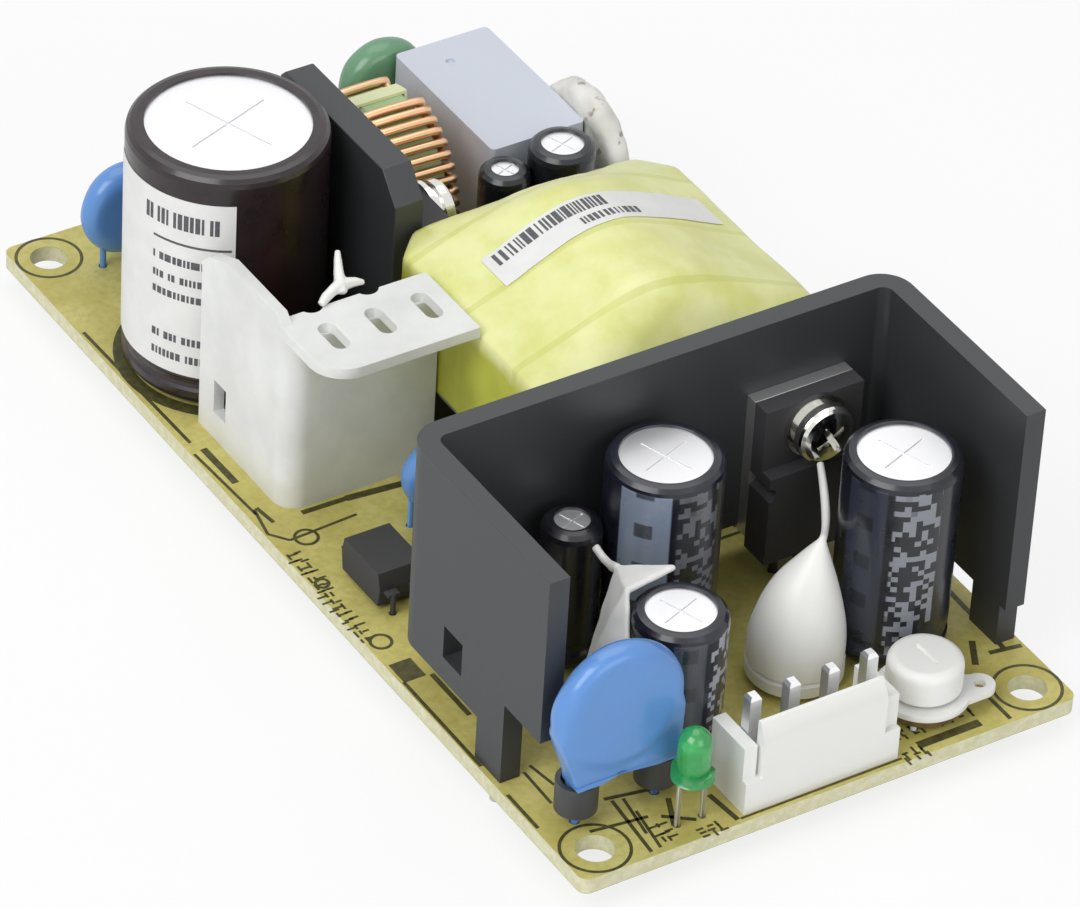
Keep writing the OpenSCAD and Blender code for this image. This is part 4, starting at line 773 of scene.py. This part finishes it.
@dataclass
class Capacitors:
    """Sleeves of the seven round capacitors, and the label on the large one."""

    looks: tuple[SleeveLook, ...] = (
        SleeveLook("output_cap_1", (0.010, 0.011, 0.020), (0.22, 0.27, 0.36), -142.0, 26.0, 0.3),
        SleeveLook("output_cap_2", (0.010, 0.011, 0.020), (0.055, 0.06, 0.08), -110.0, 20.0, 0.9),
        SleeveLook("output_cap_3", (0.010, 0.011, 0.018), (0.035, 0.04, 0.06), -160.0, 22.0, 0.6),
        SleeveLook("output_cap_4", (0.008, 0.008, 0.012), (0.03, 0.03, 0.04), -60.0, 20.0, 0.2),
        SleeveLook("filter_cap_1", (0.010, 0.012, 0.016), (0.15, 0.2, 0.2), 60.0, 30.0, 0.5),
        SleeveLook("filter_cap_2", (0.010, 0.012, 0.016), (0.15, 0.2, 0.2), 40.0, 28.0, 0.5),
        SleeveLook("bulk_capacitor", (0.016, 0.008, 0.010), (0.10, 0.08, 0.10), 60.0, 24.0, 0.3),
    )
    label_from: float = 152.0
    label_to: float = 245.0
    label_low: float = 3.6
    label_high: float = 22.9
    label_rows: tuple[tuple[float, float, float], ...] = (
        (19.6, 1.7, 238.0), (17.9, 0.25, 243.0), (15.6, 0.8, 236.0), (15.6, 0.8, 243.0), (13.6, 0.75, 243.0),
        (11.8, 0.75, 240.0), (7.0, 0.8, 243.0), (5.0, 0.8, 240.0),
    )

    def build(self) -> None:
        """Dress the sleeves and stick the label on."""
        for look in self.looks:
            wear(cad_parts[look.node + "_sleeve"], look.material())
        self.label()

    def patch(self, form: Form, start: float, end: float, low: float, high: float, lift: float,
              thick: float) -> None:
        """Add a thin curved patch that hugs the large capacitor.

        Args:
            form: Where it is added.
            start: First angle, in degrees.
            end: Last angle, in degrees.
            low: Lower edge over the board, in millimetres.
            high: Upper edge over the board, in millimetres.
            lift: Gap to the sleeve, in millimetres.
            thick: Thickness, in millimetres.
        """
        corner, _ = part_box("bulk_capacitor_sleeve")
        centre = middle("bulk_capacitor_sleeve")
        radius = centre.x - corner[0] + lift * MM
        foot = Vector((centre.x, centre.y, BOARD_TOP * MM))
        first = Matrix.Rotation(math.radians(start), 3, "Z")
        ring = [(radius, low * MM), (radius + thick * MM, low * MM), (radius + thick * MM, high * MM),
                (radius, high * MM)]
        verts = [form.bm.verts.new(foot + first @ Vector((r, 0, z))) for r, z in ring]
        face = form.bm.faces.new(verts)
        steps = max(2, round((end - start) / 4))
        bmesh.ops.spin(form.bm, geom=[face], cent=foot, axis=UP, angle=math.radians(end - start),
                       steps=steps, use_merge=False)
        bmesh.ops.recalc_face_normals(form.bm, faces=form.bm.faces)

    def label(self) -> None:
        """A pale label with rows of plain bars."""
        paper = Form()
        self.patch(paper, self.label_from, self.label_to, self.label_low, self.label_high, 0.02, 0.05)
        paper.hang("bulk_label", PAPER.material())
        rows = Form()
        chance = random.Random(19)
        for height, size, end in self.label_rows:
            angle = 190.0 if size > 1 else 196.0
            rule = size < 0.3
            while angle < end:
                wide = 8.0 if rule else chance.uniform(1.2, 3.0)
                self.patch(rows, angle, min(angle + wide, end), height, height + size, 0.07, 0.012)
                angle += wide + (0.0 if rule else chance.choice((0.8, 0.9, 1.0, 3.2)))
        rows.hang("bulk_label_print", PRINT.material())


class Surface:
    """Rays cast down onto a shape, so that thin pieces can lie on it."""

    def __init__(self, mesh: bpy.types.Mesh) -> None:
        """Keep a search tree of a mesh."""
        form = bmesh.new()
        form.from_mesh(mesh)
        self.tree = BVHTree.FromBMesh(form)
        form.free()

    def over(self, x: float, y: float, lift: float) -> Vector:
        """The point above a place of the surface.

        Args:
            x: Place across, in metres.
            y: Place along, in metres.
            lift: Height over the surface.

        Returns:
            The point.
        """
        spot, normal, _, _ = self.tree.ray_cast(Vector((x, y, 0.1)), -UP)
        return Vector((x, y, 0)) if spot is None else spot + normal * lift


@dataclass(frozen=True)
class Crease:
    """A fold pressed into the tape: its middle in millimetres, direction, length and depth."""

    spot: Vector
    along: Vector
    length: float
    depth: float


CREASES: tuple[Crease, ...] = (
    Crease(Vector((19.6, -6.4, 19.0)), Vector((0.82, -0.4, -0.4)).normalized(), 1.8, 0.35),
    Crease(Vector((4.8, -6.0, 21.3)), Vector((-0.5, -0.35, -0.79)).normalized(), 1.5, 0.32),
    Crease(Vector((-5.6, 7.8, 18.8)), Vector((0.2, 0.9, 0.1)).normalized(), 2.5, 0.2),
)


@dataclass
class TransformerWrap:
    """The taped transformer: a soft wrinkled wrap with a printed strip over it."""

    strip_x: tuple[float, float] = (-2.4, 20.4)
    strip_y: tuple[float, float] = (0.5, 4.9)
    bars_y: tuple[float, float] = (2.9, 4.5)
    marks_y: tuple[float, float] = (1.2, 2.2)
    bars_end: float = 9.2
    marks_x: tuple[float, float] = (6.0, 12.0)
    strip_lift: float = 0.05
    strip_thick: float = 0.05
    print_lift: float = 0.115
    print_thick: float = 0.012
    grid: float = 0.4

    def build(self) -> None:
        """Hang the wrap, then lay the strip and its print on it."""
        form = Form("transformer_tape")
        bmesh.ops.convex_hull(form.bm, input=form.bm.verts)
        loose = [v for v in form.bm.verts if not v.link_faces]
        bmesh.ops.delete(form.bm, geom=loose, context="VERTS")
        form.melt(0.42 * MM, 9).ripple(self.wrinkle)
        wrap = form.hang("transformer_wrap", self.tape(), stands_for=("transformer_tape",), smooth=60.0)
        surface = Surface(wrap.data)
        strip = Form()
        self.add_patch(strip, surface, self.strip_x, self.strip_y, self.strip_lift, self.strip_thick)
        strip.hang("wrap_strip", PAPER.material(), smooth=50.0)
        chance = random.Random(5)
        bars, x = Form(), self.strip_x[0] + 0.8
        while x < self.bars_end:
            wide = chance.choice((0.14, 0.22, 0.34, 0.5))
            self.add_patch(bars, surface, (x, x + wide), self.bars_y, self.print_lift, self.print_thick)
            x += wide + chance.choice((0.14, 0.2, 0.32))
        x = self.marks_x[0]
        while x < self.marks_x[1]:
            wide = chance.uniform(0.15, 0.5)
            self.add_patch(bars, surface, (x, x + wide), self.marks_y, self.print_lift, self.print_thick)
            x += wide + chance.uniform(0.15, 0.3)
        bars.hang("wrap_strip_print", PRINT.material())

    @staticmethod
    def wrinkle(place: Vector) -> float:
        """Height of the tape's wrinkles at a place."""
        broad = noise.noise(place / (5.5 * MM)) * 0.16
        fine = noise.noise(Vector((place.x, place.y * 0.35, place.z)) / (1.7 * MM)) * 0.05
        height = broad + fine
        for fold in CREASES:
            offset = place - fold.spot * MM
            run = offset.dot(fold.along)
            aside = (offset - fold.along * run).length / MM
            height -= fold.depth * math.exp(-(aside / 0.42) ** 2) * math.exp(-(run / (fold.length * MM)) ** 2)
        return height * MM

    def add_patch(self, form: Form, surface: Surface, xs: tuple[float, float], ys: tuple[float, float],
                  lift: float, thick: float) -> None:
        """Add a thin patch that follows the wrap.

        Args:
            form: Where it is added.
            surface: The wrap's surface.
            xs: Its ends across the board, in millimetres.
            ys: Its sides along the board, in millimetres.
            lift: Height over the wrap, in millimetres.
            thick: Thickness, in millimetres.
        """
        across = max(1, round((xs[1] - xs[0]) / self.grid))
        along = max(1, round((ys[1] - ys[0]) / self.grid))
        place = Matrix.Translation(Vector(((xs[0] + xs[1]) / 2, (ys[0] + ys[1]) / 2, 0)) * MM) \
            @ Matrix.Diagonal(((xs[1] - xs[0]) / 2 * MM, (ys[1] - ys[0]) / 2 * MM, 1, 1))
        made = bmesh.ops.create_grid(form.bm, x_segments=across, y_segments=along, size=1.0, matrix=place)
        low = made["verts"]
        faces = list({f for v in low for f in v.link_faces})
        upper = bmesh.ops.extrude_face_region(form.bm, geom=faces, use_keep_orig=True)
        raised = [g for g in upper["geom"] if isinstance(g, bmesh.types.BMVert)]
        for vert in low:
            vert.co = surface.over(vert.co.x, vert.co.y, lift * MM)
        for vert in raised:
            vert.co = surface.over(vert.co.x, vert.co.y, (lift + thick) * MM)
        bmesh.ops.recalc_face_normals(form.bm, faces=form.bm.faces)

    @staticmethod
    def tape() -> bpy.types.Material:
        """Glossy yellow tape with painted light: pale and lit on top, greener and deeper in painted shade
        on its sides and round its creases; it is also deeper where layers overlap.

        Returns:
            The material.
        """
        tree = Tree("yellow_tape")
        x, y, z = tree.split(tree.place)
        lumps = tree.clouds(5 * MM, 4.0)
        # Painted light: a pale lit copy of the tape on top, a deeper shaded copy on its sides.
        pale = tree.mix(lumps, (0.70, 0.72, 0.22), (0.82, 0.84, 0.40))
        shaded_side_color = tree.mix(lumps, (0.44, 0.46, 0.035), (0.54, 0.56, 0.06))
        edge = tree.math("ADD", z, tree.times(tree.noise(3 * MM), 1.6 * MM))
        color = tree.mix(tree.fade(edge, 18.6 * MM, 20.4 * MM), shaded_side_color, pale)
        slant = tree.math("ADD", y, tree.times(x, 0.06))
        layer = tree.math("FRACT", tree.math("DIVIDE", slant, 9.0 * MM))
        color = tree.mix(tree.times(tree.band(layer, 0.02, 0.1, 0.01), 0.35), color, (0.52, 0.55, 0.07))
        # Painted shade: the tape darkens round each crease.
        for fold in CREASES:
            near = tree.node("ShaderNodeVectorMath", {"operation": "DISTANCE"}, {
                0: tree.place, 1: tuple(fold.spot * MM)}).outputs["Value"]
            shade = tree.times(tree.fade(near, fold.length * MM, 0.3 * MM), 0.4)
            color = tree.mix(shade, color, (0.50, 0.52, 0.02))
        tree.set(Base_Color=color, Coat_Weight=0.35, Coat_Roughness=0.2, Specular_IOR_Level=0.45)
        tree.set(Roughness=tree.fade(lumps, 0.0, 1.0, 0.3, 0.42))
        tree.set(Subsurface_Weight=0.1, Subsurface_Radius=(1.0, 1.0, 0.4), Subsurface_Scale=0.8 * MM)
        tree.bump(tree.noise(1.4 * MM, 3.0), 0.03 * MM)
        return tree.material


@dataclass
class Choke:
    """The ring choke's two windings, wound turn by turn."""

    wire: float = 0.85
    turns: int = 18
    gap: float = 76.0
    start: float = 98.0
    sweep: float = 148.0
    inner: float = 4.7
    fine: float = 0.05
    rounding: float = 0.6
    inner_layer: float = 1.02
    side_layer: float = 0.95

    def build(self) -> None:
        """Wind both halves."""
        low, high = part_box("choke_core")
        self.centre = middle("choke_core") / MM
        self.outer = (high[2] - low[2]) / 2 / MM
        self.half = (high[0] - low[0]) / 2 / MM
        for name, flip in (("choke_winding_near", False), ("choke_winding_far", True)):
            points = curve_through(self.path(flip), 3)
            form = Form().take(strand(points, [self.wire / 2 * MM] * len(points), 2))
            form.hang(name + "_wire", ENAMEL.material(), stands_for=(name,), smooth=80.0)

    def spot(self, degrees: float, radius: float, aside: float) -> Vector:
        """A point of the ring.

        Args:
            degrees: Angle around the ring.
            radius: Distance from its axis, in millimetres.
            aside: Place along its axis, in millimetres.

        Returns:
            The point, in metres.
        """
        a = math.radians(degrees)
        return Vector((self.centre.x + aside, self.centre.y + radius * math.cos(a),
                       self.centre.z + radius * math.sin(a))) * MM

    def path(self, flip: bool) -> list[Vector]:
        """The wire's way from the board, around the ring and back.

        Args:
            flip: Whether it is the mirrored winding.

        Returns:
            Its points.
        """
        ring = self.outer + self.wire / 2 + self.fine
        side = self.half + self.wire / 2 + self.fine
        c = self.rounding * self.wire
        step = self.sweep / self.turns
        points = []
        for k in range(self.turns):
            layer = k % 2
            hole = self.inner - self.wire / 2 - self.fine - layer * self.wire * self.inner_layer
            bulge = side + layer * self.wire * self.side_layer
            loop = ((ring, -side + c), (ring, side - c), (ring - c, side), (hole + c, bulge), (hole, bulge - c),
                    (hole, -bulge + c), (hole + c, -bulge), (ring - c, -side))
            for j, (radius, aside) in enumerate(loop):
                a = self.start + step * (k + j / len(loop))
                points.append(self.spot(2 * self.gap - a if flip else a, radius, aside))
        first = 2 * self.gap - self.start if flip else self.start
        last = self.start + self.sweep
        last = 2 * self.gap - last if flip else last
        drop = self.spot(first, ring, -(side + 2.0 * self.wire))
        end = self.spot(last, ring, -side + c)
        head = [Vector((drop.x, drop.y, LEAD_END)), Vector((drop.x, drop.y, drop.z - 2 * MM)),
                Vector((drop.x + 0.2 * MM, drop.y, drop.z - 0.5 * MM))]
        tail = [end, Vector((end.x, end.y, min(end.z - 0.5 * MM, 2.5 * MM))), Vector((end.x, end.y, LEAD_END))]
        return head + points + tail


@dataclass
class DippedParts:
    """Lacquered discs: soft skins fused over their bodies, on plain leads."""

    nodes: dict[str, tuple[Finish, float, float]] = field(default_factory=lambda: {
        "front_disc_capacitor": (BLUE, 5.2, 0.26), "rear_disc_capacitor": (BLUE, 2.4, 0.26),
        "inner_disc_capacitor": (BLUE, 2.6, 0.24), "thermistor": (DARK_GREEN, 6.6, 0.26),
    })
    overlap: float = 0.3
    varistor_floor: float = 2.0

    def build(self) -> None:
        """Hang each disc and its leads."""
        for node, (finish, floor, voxel) in self.nodes.items():
            level = (BOARD_TOP + floor) * MM
            skin = Form(node).cut_at(level, Part.UPPER).melt(voxel * MM, 7).ripple(self.uneven)
            skin.hang(node + "_skin", finish.material(), stands_for=(node,), smooth=70.0)
            leads = Form(node).cut_at(level + self.overlap * MM, Part.LOWER)
            leads.hang(node + "_leads", TINNED.material() if node == "thermistor" else finish.material())
        self.varistor()

    @staticmethod
    def uneven(place: Vector) -> float:
        """Unevenness of a dipped skin."""
        return noise.noise(place / (3.2 * MM)) * 0.14 * MM

    def varistor(self) -> None:
        """The varistor in its crumpled pale sleeve, stained here and there."""
        node = "varistor"
        level = (BOARD_TOP + self.varistor_floor) * MM
        skin = Form(node).cut_at(level, Part.UPPER).melt(0.3 * MM, 4)
        skin.ripple(lambda p: (noise.noise(p / (1.9 * MM)) * 0.28
                               + noise.noise(p / (0.8 * MM)) * 0.08) * MM)
        tree = Tree("white_sleeve")
        stain = tree.fade(tree.noise(1.6 * MM, 5.0), 0.60, 0.68)
        color = tree.mix(tree.clouds(4 * MM), (0.66, 0.65, 0.60), (0.84, 0.83, 0.80))
        tree.set(Base_Color=tree.mix(tree.times(stain, 0.7), color, (0.22, 0.13, 0.07)), Roughness=0.5)
        tree.bump(tree.noise(0.9 * MM, 3.0), 0.06 * MM)
        skin.hang("varistor_sleeve", tree.material, stands_for=(node,), smooth=60.0)
        leads = Form(node).cut_at(level + self.overlap * MM, Part.LOWER)
        leads.hang("varistor_leads", TINNED.material())


@dataclass
class Glue:
    """White glue: the dome over the drum, the web between the capacitors and the bead on the cover."""

    base: float = 3.9
    height: float = 11.3
    tip: float = 0.4
    lean: tuple[float, float] = (2.2, 0.5)
    rings: int = 32
    strand_rings: int = 10
    strand_end: Vector = field(default_factory=lambda: Vector((-0.9, -4.0, -2.4)) * MM)
    strand_thinning: float = 0.16

    def build(self) -> None:
        """Hang the three masses of glue."""
        self.dome()
        for node, voxel, passes in (("glue_web", 0.13, 5), ("glue_cover", 0.13, 3)):
            form = Form(node).melt(voxel * MM, passes).ripple(lambda p: self.lumps(p, 1.5, 0.1))
            form.hang(node + "_skin", GLUE.material(), stands_for=(node,), smooth=70.0)

    @staticmethod
    def lumps(place: Vector, size: float, height: float) -> float:
        """Lumps of set glue of a given size and height in millimetres."""
        return noise.noise(place / (size * MM)) * height * MM

    def dome(self) -> None:
        """The dome: one smooth leaning drop that runs out into a strand."""
        low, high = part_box("drum_core")
        foot = middle("drum_core") / MM
        reach = (high[0] - low[0]) / 2 / MM
        points, radii = [], []
        for i in range(self.rings + 1):
            t = i / self.rings
            points.append(Vector((foot.x + self.lean[0] * t * t, foot.y + self.lean[1] * t * t,
                                  self.base + self.height * t)) * MM)
            swell = self.tip + (reach - self.tip) * math.cos(math.pi / 2 * t ** 1.25) * (1 - 0.12 * t * t)
            radii.append(swell * MM)
        top, end = points[-1], middle("rectifier_screw") + self.strand_end
        for i in range(1, self.strand_rings + 1):
            t = i / self.strand_rings
            sag = Vector((0.3, -0.4, -1.2)) * 4 * t * (1 - t) * MM
            points.append(top.lerp(end, t) + sag)
            radii.append((self.tip - self.strand_thinning * t) * MM)
        form = Form().take(strand(points, radii, 8)).ripple(lambda p: self.lumps(p, 4.5, 0.22))
        form.hang("glue_dome_skin", GLUE.material(), stands_for=("glue_dome",), smooth=70.0)


@dataclass
class Adjuster:
    """The trimmer: pale plate with its eye over a brown body, and the turning dial."""

    wafer_inner: float = 2.0
    wafer_outer: float = 3.55
    wafer_high: float = 0.95
    wafer_low: float = 2.12

    def build(self) -> None:
        """Hang the base on the board and the dial on its own body."""
        plate = Form("trimmer_base").soften(0.07 * MM)
        plate.hang("trimmer_plate", NYLON.material(), stands_for=("trimmer_base",))
        dial = Form("trimmer_dial").soften(0.06 * MM, 40.0)
        dial.hang("trimmer_knob", NYLON.material(), body=DIAL, stands_for=("trimmer_dial",))
        centre = middle("trimmer_dial")
        inner, outer, high = self.wafer_inner, self.wafer_outer, self.wafer_high
        ring = [(inner, 0), (outer, 0), (outer, high), (inner, high), (inner, 0)]
        wafer = Form().turned(ring, Vector((centre.x, centre.y, self.wafer_low * MM)), 48)
        wafer.hang("trimmer_wafer", PHENOLIC.material())


@dataclass
class GreenLamp:
    """The green indicator: a clear dome over its cup and post, on two bright leads."""

    floor: float = 6.5
    cup: tuple[tuple[float, float], ...] = (
        (0, 0), (0.35, 0), (0.75, 1.0), (0.75, 1.2), (0.6, 1.2), (0.3, 0.5), (0, 0.5))
    cup_low: float = 8.6
    cup_aside: float = -0.35
    post_low: float = 6.9
    post_half: float = 0.22
    posts: tuple[tuple[float, float, float], ...] = ((-1.1, -0.2, 8.7), (0.5, 0.95, 9.5))

    def build(self) -> None:
        """Hang the lens, the metal inside it and the leads."""
        level = self.floor * MM
        lens = Form("led").cut_at(level, Part.UPPER)
        lens.hang("led_lens", LED_LENS.material(), stands_for=("led",), smooth=50.0)
        Form("led").cut_at(level, Part.LOWER).hang("led_leads", TINNED.material())
        centre = middle("led")
        x, y = centre.x / MM, centre.y / MM
        form = Form().turned(self.cup, Vector((x + self.cup_aside, y, self.cup_low)) * MM, 24)
        for left, right, high in self.posts:
            form.block((x + left, y - self.post_half, self.post_low), (x + right, y + self.post_half, high))
        form.hang("led_cup", BARE_METAL.material())


# Studio


@dataclass
class Studio:
    """Floor, soft lamps, white surroundings and the camera."""

    azimuth: float = math.radians(34.01)
    elevation: float = math.radians(37.66)
    roll: float = math.radians(3.51)
    aim: Vector = field(default_factory=lambda: Vector((-3.73, -8.27, 10.0)) * MM)
    distance: float = 644.4 * MM
    lens: float = 243.6
    floor_half: float = 3.0
    floor_gap: float = 0.02 * MM

    def build(self) -> None:
        """Set the stage and the camera."""
        self.surroundings()
        self.floor()
        self.lamps()
        self.camera()
        view = bpy.context.scene.view_settings
        view.view_transform = "Standard"

    def surroundings(self) -> None:
        """A dim world for light, which shows white to the eye and in reflections."""
        world = bpy.data.worlds.new("surroundings")
        bpy.context.scene.world = world
        world.use_nodes = True
        nodes, links = world.node_tree.nodes, world.node_tree.links
        back = nodes["Background"]
        back.inputs["Color"].default_value = (1.0, 1.0, 1.0, 1.0)
        path = nodes.new("ShaderNodeLightPath")
        seen = path.outputs["Is Camera Ray"]
        for ray in ("Is Transmission Ray", "Is Glossy Ray"):
            either = nodes.new("ShaderNodeMath")
            either.operation = "MAXIMUM"
            links.new(seen, either.inputs[0])
            links.new(path.outputs[ray], either.inputs[1])
            seen = either.outputs[0]
        level = nodes.new("ShaderNodeMapRange")
        level.inputs["To Min"].default_value = 0.32
        level.inputs["To Max"].default_value = 1.0
        links.new(seen, level.inputs["Value"])
        links.new(level.outputs["Result"], back.inputs["Strength"])

    def floor(self) -> None:
        """A plain pale floor that keeps the object's shadow."""
        mesh = bpy.data.meshes.new("floor")
        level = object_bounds()[0][2] - self.floor_gap
        shape = bmesh.new()
        bmesh.ops.create_grid(shape, x_segments=1, y_segments=1, size=self.floor_half,
                              matrix=Matrix.Translation((0, 0, level)))
        shape.to_mesh(mesh)
        shape.free()
        floor = enter("floor", mesh)
        tree = Tree("floor_paper")
        tree.set(Base_Color=(0.9, 0.9, 0.9), Roughness=0.9)
        glow = tree.node("ShaderNodeEmission", {}, {"Color": (1.0, 1.0, 1.0), "Strength": 1.0})
        path = tree.node("ShaderNodeLightPath")
        share = tree.times(path.outputs["Is Camera Ray"], 0.8)
        blend = tree.node("ShaderNodeMixShader", {}, {0: share})
        tree.links.new(tree.shader.outputs[0], blend.inputs[1])
        tree.links.new(glow.outputs[0], blend.inputs[2])
        tree.links.new(blend.outputs[0], tree.nodes["Material Output"].inputs["Surface"])
        mesh.materials.append(tree.material)
        floor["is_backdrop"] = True

    def lamps(self) -> None:
        """A broad key from the left and above, a fill from the front and a soft top light."""
        for name, place, size, power in (
            ("key", (-0.55, -0.15, 0.55), 0.5, 3.4),
            ("front", (0.05, -0.7, 0.35), 0.5, 1.3),
            ("top", (0.1, 0.25, 0.8), 0.7, 2.2),
        ):
            lamp = bpy.data.lights.new(name, "AREA")
            lamp.size = size
            lamp.energy = power
            holder = enter(name, lamp)
            holder.location = place
            holder.rotation_euler = (-Vector(place)).to_track_quat("-Z", "Y").to_euler()

    def camera(self) -> None:
        """The camera at its viewing angle."""
        lens = bpy.data.cameras.new("camera")
        lens.sensor_width = 36.0
        lens.sensor_fit = "HORIZONTAL"
        lens.lens = self.lens
        lens.clip_end = 20.0
        holder = enter("camera", lens)
        forward = Vector((math.cos(self.elevation) * math.sin(self.azimuth),
                          math.cos(self.elevation) * math.cos(self.azimuth), -math.sin(self.elevation)))
        holder.location = self.aim - forward * self.distance
        turn = forward.to_track_quat("-Z", "Y").to_matrix() @ Matrix.Rotation(self.roll, 3, "Z")
        holder.rotation_euler = turn.to_euler()
        bpy.context.scene.camera = holder


def main() -> None:
    """Build the scene and report each step."""
    logging.basicConfig(level=logging.INFO, format="%(message)s")
    dress_nodes()
    for assembly in (MouldedParts(), BoardPrintAndShadow(), Capacitors(), TransformerWrap(), Choke(), DippedParts(),
                     Glue(), Adjuster(), GreenLamp()):
        assembly.build()
    Studio().build()


if __name__ == "__main__":
    main()
